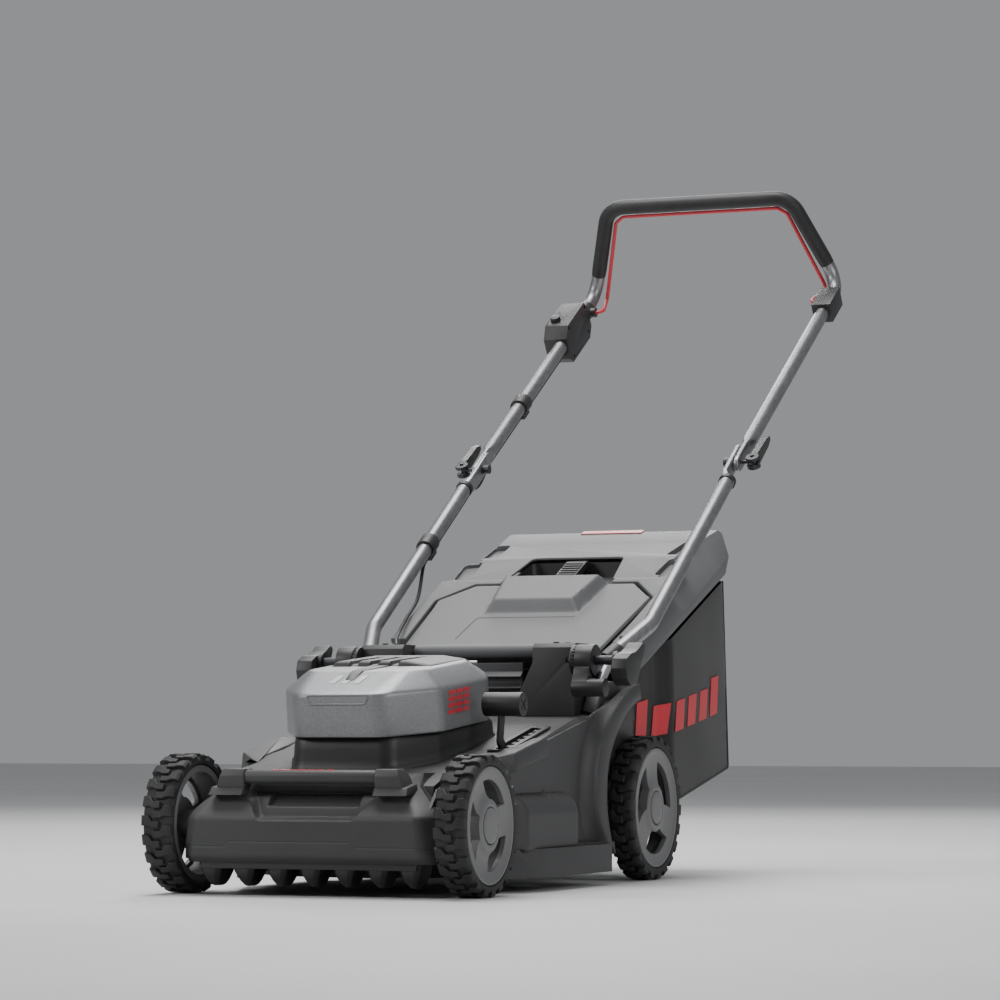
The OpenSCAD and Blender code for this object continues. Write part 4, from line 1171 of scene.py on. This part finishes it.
def add_hood_trim():
    """Raised frame round the front slot, the dark rib on top, three pale marks and a red hatched field."""
    border = rounded_outline([(-44, 54), (-38, 42.5), (38, 42.5), (44, 54)], 3, 4)
    frame_path = [Vector((x, -0.4, z)) for x, z in border]
    ring = frame_path + [frame_path[0]]
    rings = []
    for i in range(len(frame_path)):
        p, q = ring[i - 1] if i else frame_path[-1], ring[i + 1]
        ahead = (q - p).normalized()
        out = Vector((0, -1, 0))
        across = ahead.cross(out)
        rings.append([on_hood(*(ring[i] + across * (1.5 * math.cos(t)) + out * (1.2 * math.sin(t))))
                      for t in [k * math.pi / 4 for k in range(8)]])
    trim = rings_piece("hood_slot_frame", rings, closed=True)
    finish_piece(trim, "hood_paint", "chassis")
    slot = rings_piece("hood_slot_floor", [
        [on_hood(x, y, z) for x, z in rounded_outline([(-42, 53), (-37, 43.5), (37, 43.5), (42, 53)], 2, 3)]
        for y in (-0.15, 1.5)
    ])
    finish_piece(slot, "hood_paint", "chassis")
    chamfer = math.atan2(24, 66)
    rib = rings_piece("hood_top_rib", [
        [on_hood(x, y, z) for x, y, z in ((-7 - w, a, b), (7 + w, a, b), (5 + w, a, b + h), (-5 - w, a, b + h))]
        for a, b, h, w in ((36, 67.2, 0.3, -4), (40, 69.4, 1.4, 0), (64, 78.1, 1.6, 2), (132, 79.1, 1.6, 8))
    ])
    finish_piece(rib, "black_plastic", "chassis")
    marks = []
    for i in range(3):
        x = -26 + i * 17
        slope = [(x + dx, 30 + dy) for dx, dy in ((0, 0), (9, 0), (14, 22), (5, 22))]
        marks.append(rings_piece(f"mark_{i}", [
            [on_hood(u, v, 55 + v * math.tan(chamfer) + lift) for u, v in slope] for lift in (-0.3, 0.55)
        ]))
    pale = join_pieces("hood_pale_marks", marks)
    finish_piece(pale, "steel", "chassis")
    fields = []
    for row in range(4):
        for column in range(3):
            y0, z0 = 96 + column * 24 + row * 1.5, 20 + row * 8.2
            outline = [(y0, z0), (y0 + 20, z0), (y0 + 22, z0 + 5.4), (y0 + 2, z0 + 5.4)]
            fields.append(rings_piece(f"field_{row}_{column}", [
                [on_hood(x, y, z) for y, z in outline] for x in (110.6, 111.5)
            ]))
    hatch = join_pieces("hood_side_hatch", fields)
    finish_piece(hatch, "red", "chassis")


# ---------------------------------------------------------------- flap, bag lid and handle well
FLAP_SLOPE = math.radians(26)


def on_flap(x, y, h):
    """Point above the flap's plane: y up the slope, h out of it."""
    return at(x, 595 + y * math.cos(FLAP_SLOPE) - h * math.sin(FLAP_SLOPE),
              337 + y * math.sin(FLAP_SLOPE) + h * math.cos(FLAP_SLOPE))


def flap_half(y):
    return 151 + (y + 20) * 0.1 if y < 136 else 166.6 - (y - 136) * 0.8


def flap_height(x, y):
    to_edge = min(flap_half(y) - abs(x), 190 - y, y + 97)
    rounding = 3.6 * (1 - math.sqrt(max(0.0, 1 - (1 - min(1.0, max(0.0, to_edge) / 5)) ** 2)))
    low, high = 72 + (y - 86) * 0.115, 60 + (y - 104) * 0.16
    bump = min((low - abs(x)) / (low - high), (y - 86) / 18, (191 - y) / 5, 1.0)
    return 16 * max(0.0, bump) - rounding


def add_flap():
    def place(u, v):
        y = -97 + 287 * v
        x = (2 * u - 1) * flap_half(y)
        return on_flap(x, y, flap_height(x, y))
    sheet = skin("flap_sheet", 120, 104, place, -3.6, 30)
    barrel = plain_tube("flap_barrel", [Vector((x, 483, 316)) for x in (-94, -93, 93, 94)], 10, 32)
    root = rings_piece("flap_root", [
        [at(x, y, z) for y, z in ((478, 322), (486, 325), (514, 301), (506, 294), (484, 308))] for x in (-90, 90)
    ])
    finish_piece(join_pieces("flap_moulding", [sheet, barrel, root]), SLOT_OF["rear_flap"], "flap", ["rear_flap"])
    path = refine_path(rounded_path([(-84, 0, 0), (-78, 72, 0), (73, 72, 0)], 8, 6), 6)
    points = [on_flap(p.x, p.y, 0.05) * 1000 + Vector((0, AXLE_TO_MIDDLE, 0)) for p in path]
    line = plain_tube("flap_parting_line", points, 0.55, 8)
    finish_piece(line, "black_plastic", "flap")


def lid_plane(y):
    """Height of the bag lid's top surface."""
    return 428 + (y - 782) * 0.442 if y < 858 else 461.6 + (y - 858) * 0.311


def lid_prism(name, outline, low, high):
    """Upright prism between two depths below the lid's surface."""
    return rings_piece(name, [[at(x, y, lid_plane(y) - depth) for x, y in outline] for depth in (low, high)])


def inset(outline, by):
    centre = Vector((sum(p[0] for p in outline), sum(p[1] for p in outline))) / len(outline)
    result = []
    for p in outline:
        v = Vector(p) - centre
        result.append(tuple(centre + v * (1 - by / max(v.length, 1))))
    return result


def add_lid():
    lid = cad_copy("bag_lid", "lid_moulding")
    well = rounded_outline([(-85, 778), (-72, 863), (72, 863), (85, 778), (85, 730), (-85, 730)], 12, 5)
    cut(lid, rings_piece("well_cutter", [[at(x, y, z) for x, y in well] for z in (340, 520)]))
    cups = []
    for side in (RIGHT, LEFT):
        for corners in (((134, 868), (160, 868), (164, 936), (140, 940)), ((144, 790), (172, 790), (176, 846), (148, 850))):
            outline = rounded_outline([(side * x, y) for x, y in corners], 7, 4)
            cut(lid, lid_prism("pocket_cutter", outline, -8, 12))
            cup = lid_prism("cup", inset(outline, -2.5), 2.4, 9)
            cut(cup, lid_prism("cup_inside", inset(outline, 0.6), -4, 7.6))
            cups.append(cup)
    round_edges(lid, 2.6)
    borders = []
    for side in (RIGHT, LEFT):
        outline = [(163, 3), (187, 3), (187, 209), (87, 209), (87, 194), (127, 194), (169.5, 138)]
        borders.append(round_edges(rings_piece("border", [
            [on_flap(side * x, y, h) for x, y in outline] for h in (-9, 0.4)
        ]), 2.2))
    whole = join_pieces("bag_lid_moulding", [lid] + cups + borders)
    finish_piece(whole, SLOT_OF["bag_lid"], "bag", ["bag_lid"])
    tray_walls = rounded_outline([(-88, 700), (-88, 778), (-75, 867), (75, 867), (88, 778), (88, 700)], 12, 5)

    def floor_at(y):
        return min(lid_plane(max(y, 782)), 428 + (y - 782) * 0.4877) - 31
    tray = rings_piece("bag_well_tray", [
        [at(x * k, y, floor_at(y) + up) for x, y in tray_walls] for up, k in ((22, 1.0), (6, 0.985), (0, 0.95))
    ], capped=False)
    floor = rings_piece("tray_floor", [[at(x * 0.955, y, floor_at(y) + up) for x, y in tray_walls] for up in (-1.5, 0.2)])
    finish_piece(join_pieces("bag_well", [tray, floor]), "black_plastic", "bag")


def add_bag_handle():
    """Carrying handle across the well, with grip ribs."""
    base = round_edges(cad_copy("bag_handle", "handle_core"), 3.0)
    ribs = []
    for i in range(8):
        y = 792 + 7.5 * i
        z = 422 + (y - 780) * 0.472
        ribs.append(plain_tube(f"rib_{i}", [Vector((x, y, z + 0.3)) for x in (-13.5, -12.5, 12.5, 13.5)], 1.5, 10))
    whole = join_pieces("bag_handle_ribbed", [base] + ribs)
    finish_piece(whole, SLOT_OF["bag_handle"], "bag", ["bag_handle"])


# ---------------------------------------------------------------- front and sides of the deck
def ease(value, low, high):
    """0 below low, 1 above high, smooth between them."""
    t = max(0.0, min(1.0, (value - low) / (high - low)))
    return t * t * (3 - 2 * t)


def skin(name, columns, rows, place, thickness, sharp=34):
    """Sheet of points place(u, v), thickened to a closed solid."""
    points = [place(i / columns, j / rows) for j in range(rows + 1) for i in range(columns + 1)]
    faces = []
    for j in range(rows):
        for i in range(columns):
            k = j * (columns + 1) + i
            faces.append((k, k + 1, k + columns + 2, k + columns + 1))
    mesh = bpy.data.meshes.new(name)
    mesh.from_pydata([tuple(p) for p in points], [], faces)
    piece = bpy.data.objects.new(name, mesh)
    bpy.context.scene.collection.objects.link(piece)
    wall = piece.modifiers.new("wall", "SOLIDIFY")
    wall.thickness = thickness / 1000
    wall.offset = 1
    bake(piece)
    smooth_by_angle(piece.data, sharp)
    return piece


SHIELD_SECTION = [(-66, 42), (-75, 50), (-76.5, 98), (-38, 142), (12, 153)]


def shield_half(z):
    return 174 - 3 * ease(z, 60, 100) - 42 * ease(z, 96, 152)


def seam_depth(x, z):
    """Thin parting line that steps up in the middle of the shield."""
    line = 62 + 6.5 * (ease(x, -112, -105) - ease(x, 62, 72))
    return math.exp(-((z - line) / 0.55) ** 2)


def add_front_shield():
    section = refine_path(rounded_path([(0, y, z) for y, z in SHIELD_SECTION], 13, 10), 1.3)
    count = len(section) - 1

    def place(u, v):
        p = section[round(v * count)]
        half = shield_half(p.z)
        x = (2 * u - 1) * half
        edge = abs(x) / half
        corner = 20 * max(0.0, (abs(x) - (half - 24)) / 24) ** 2.0
        pocket_low = 97 + 26 * ease(abs(x), 62, 88)
        recess = ease(p.z, pocket_low - 3, pocket_low + 4) * (1 - ease(abs(x), 84, 88)) * (1 - ease(p.z, 134, 142))
        deeper = ease(p.z, 111, 114) * (1 - ease(abs(x), 60, 64)) * (1 - ease(p.z, 131, 136))
        y = p.y + corner + 15 * recess + 9 * deeper
        y += 0.9 * seam_depth(x, p.z) * (p.y < -70)
        return at(x, y, p.z - 4 * max(0.0, edge - 0.9) * 10 * ease(p.z, 130, 150) - 6 * recess * ease(p.z, 122, 140))

    shield = skin("front_shield_skin", 300, count, place, -3)
    cheeks = []
    for side in (RIGHT, LEFT):
        def cheek(u, v):
            z = 46 + 108 * v
            half = shield_half(z)
            back = 62
            front = section_front(z) + 19
            return at(side * (half + 0.3 * math.sin(math.pi * u) * 4 - 8 * u * u * ease(z, 100, 60)), front + (back - front) * u, z)
        cheeks.append(skin("cheek", 16, 24, cheek, -2.6 * side))
    ends = [lift_bar_end(RIGHT), lift_bar_end(LEFT)]
    whole = join_pieces("front_shield_rounded", [shield] + cheeks + ends)
    finish_piece(whole, SLOT_OF["front_shield"], body_holding("front_shield"), ["front_shield"])


def section_front(z):
    """y of the shield's front face at height z."""
    return -76 + 38 * ease(z, 92, 143) + 22 * ease(z, 136, 153)


def lift_bar_end(side):
    """Block that holds one end of the lift bar, on its stepped foot."""
    block = prism("block", [(-64, 150), (-59, 159.5), (-36, 159.5), (-26, 150), (-26, 140), (-60, 131)], "x", 90, 134)
    keep_inside(block, prism("shape", [(89, 128), (132, 128), (120, 160), (89, 160)], "y", -90, 10))
    round_edges(block, 2.0)
    foot = prism("foot", [(-69, 126), (-62, 136), (-30, 141), (-30, 128)], "x", 90, 138)
    keep_inside(foot, prism("shape", [(89, 120), (138, 120), (134, 142), (89, 142)], "y", -90, 10))
    round_edges(foot, 1.2)
    end = join_pieces("end", [block, foot])
    if side == LEFT:
        mirror = mirror_copy("end_left", end)
        bpy.data.objects.remove(end)
        return mirror
    return end


def deck_wall(y, z):
    """x of the right wall below the shoulder: a set-back wall and the round side of the blade chamber."""
    away = math.hypot(max(0.0, y - 318), max(0.0, z - 97))
    bulge = 22 * math.sqrt(max(0.0, 1 - (away / 26) ** 2))
    return min(184 + bulge, 53 + y)


def shoulder_low(y):
    return 153 + (y - 135) * 0.169


def deck_top(y):
    return 169.4 + (y - 142) * 0.1908


def wall_skin():
    def place(u, v):
        y = 98 + 352 * u
        top = shoulder_low(y) + 5 + (deck_top(y) - shoulder_low(y) - 5) * ease(y, 255, 258)
        if v < 0.04:
            return at(min(200, 55 + y) + (deck_wall(y, 56) - min(200, 55 + y)) * v / 0.04, y, 54.7 + 0.5 * v / 0.04)
        z = 55.2 + (top - 55.2) * (v - 0.04) / 0.96
        return at(deck_wall(y, z), y, z)
    return skin("deck_wall", 90, 60, place, 3, 50)


def roof_height(y):
    return 158 + (y - 50) * 0.157 if y < 203 else 182 + (y - 203) * 0.22


def shoulder():
    plan = [(164, 96), (151, 96), (197, 143), (197, 253), (186, 260), (164, 260)]
    low = [at(x, y, shoulder_low(y)) for x, y in plan]
    high = [at(x - (2.5 if x > 180 else 0), y, roof_height(y) + (6 if x > 180 else 0.4)) for x, y in plan]
    return round_edges(rings_piece("shoulder", [low, high]), 3)


def fender():
    """Flared edge round the front of the rear wheel: concave from the wall, flat outside, turned into the well."""
    seam = smooth_curve([(380, 50), (374, 100), (374, 130), (381, 165), (396, 197), (436, 226), (500, 246), (560, 262)])
    edge = smooth_curve([(446, 50), (412, 90), (403, 121), (408, 160), (430, 201), (478, 238), (528, 262), (566, 272)])
    well = smooth_curve([(462, 50), (446, 90), (442, 121), (448, 158), (468, 190), (505, 222), (540, 240), (572, 250)])
    rings = []
    for a, b, c in zip(seam, edge, well):
        near, far, inner = (Vector((q[0], q[1])) for q in (a, b, c))
        ring = []
        for t, x in ((-0.1, 181), (0.0, 184.5), (0.3, 185.6), (0.55, 188.5), (0.78, 194), (0.92, 200.5), (1.0, 205)):
            q = near.lerp(far, t)
            ring.append((x, q.x, q.y))
        for t, x in ((0.06, 206.3), (0.5, 206.6), (0.94, 206.3), (1.0, 205), (1.02, 176), (0.9, 176)):
            q = far.lerp(inner, t)
            ring.append((x, q.x, q.y))
        rings.append([at(*q) for q in ring])
    return rings_piece("fender", rings, sharp=50)


def rear_cheek():
    """Side of the deck between the handle's block and the top of the rear fender."""
    outline = [
        (462, 232), (500, 246), (560, 260), (584, 264), (592, 269), (584, 274), (522, 275), (500, 269), (480, 256)
    ]
    return round_edges(prism("rear_cheek", outline, "x", 160, 182), 3)


def add_deck():
    deck = cad_copy("deck_shell", "deck_right_and_left")
    for low, high in ((184, 240), (-240, -184)):
        cut(deck, prism("cutter", [
            (96, 54.9), (96, 151), (135, 157), (256, 177), (257, 300), (590, 300), (590, 225), (452, 225), (452, 54.9)
        ], "x", low, high))
    for low, high in ((173, 240), (-240, -173)):
        cut(deck, prism("cutter", [(456, 57), (456, 300), (650, 300), (650, 57)], "x", low, high))
    round_edges(deck, 3.0)
    parts = [wall_skin(), shoulder(), fender(), rear_cheek()]
    parts += [mirror_copy(part.name + "_left", part) for part in parts]
    whole = join_pieces("deck_outer", [deck] + parts)
    finish_piece(whole, SLOT_OF["deck_shell"], body_holding("deck_shell"), ["deck_shell"])


def add_comb():
    """Row of tapered teeth under the front edge."""
    pieces = [prism("comb_bar", [(-148, 34), (148, 34), (150, 46), (-150, 46)], "y", -64, -26)]
    for x in (-138, -92, -46, 0, 46, 92, 136):
        rings = []
        for z, wide, front, back in ((42, 17, -63, -14), (30, 13.5, -62, -13), (19, 8, -57, -16), (13.5, 4.5, -50, -20), (11.6, 3, -44, -26)):
            rings.append([at(*q) for q in (
                (x - wide, front + 7, z), (x - wide * 0.55, front, z), (x + wide * 0.55, front, z),
                (x + wide, front + 7, z), (x + wide * 0.8, back, z), (x - wide * 0.8, back, z)
            )])
        pieces.append(rings_piece("tooth", rings))
    comb = join_pieces("grass_comb_teeth", pieces)
    round_edges(comb, 1.0, 2)
    finish_piece(comb, SLOT_OF["grass_comb"], body_holding("grass_comb"), ["grass_comb"])


# ---------------------------------------------------------------- CAD shapes with rounded edges
def add_refined_nodes():
    for node, width in (
        ("height_rack", 0.7), ("handle_blocks", 2.2),
        ("switch_box", 3.0), ("bail_bracket", 3.0),
        ("mid_lever_r", 1.6), ("mid_lever_l", 1.6),
        ("height_arm", 0.8), ("height_grip", 1.2), ("lift_bar", 1.5),
        ("bag_frame", 1.2), ("safety_key", 0.8), ("ratchet_discs", 0.5),
        ("discharge_chute", 0.8), ("tube_clips", 0.8), ("upper_clip", 0.8),
    ):
        refined(node, width)
    refined("start_button", 1.0, "black_plastic")


def dress_frame():
    """Gives every CAD node that still shows the material of its slot."""
    for node, thing in frame["nodes"].items():
        for slot in thing.material_slots:
            slot.material = MATERIALS[SLOT_OF[node]]


def add_floor():
    bpy.ops.mesh.primitive_plane_add(size=24, location=(0, 4, cad_floor()))
    floor = bpy.context.object
    floor.name = "studio_floor"
    floor.data.materials.append(floor_material())


def cad_floor():
    return cad_box[0][2]


add_camera()
add_studio()
add_floor()
dress_frame()
add_wheels()
add_lower_tubes()
add_upper_tube()
add_grip()
add_bail()
add_cables()
add_hood()
add_neck()
add_battery_lid()
add_flap()
add_lid()
add_bag_handle()
add_front_shield()
add_deck()
add_fold_bolts()
add_foot_housings()
add_accents()
add_comb()
bag_cloth, bag_area = add_bag_fabric()
add_refined_nodes()
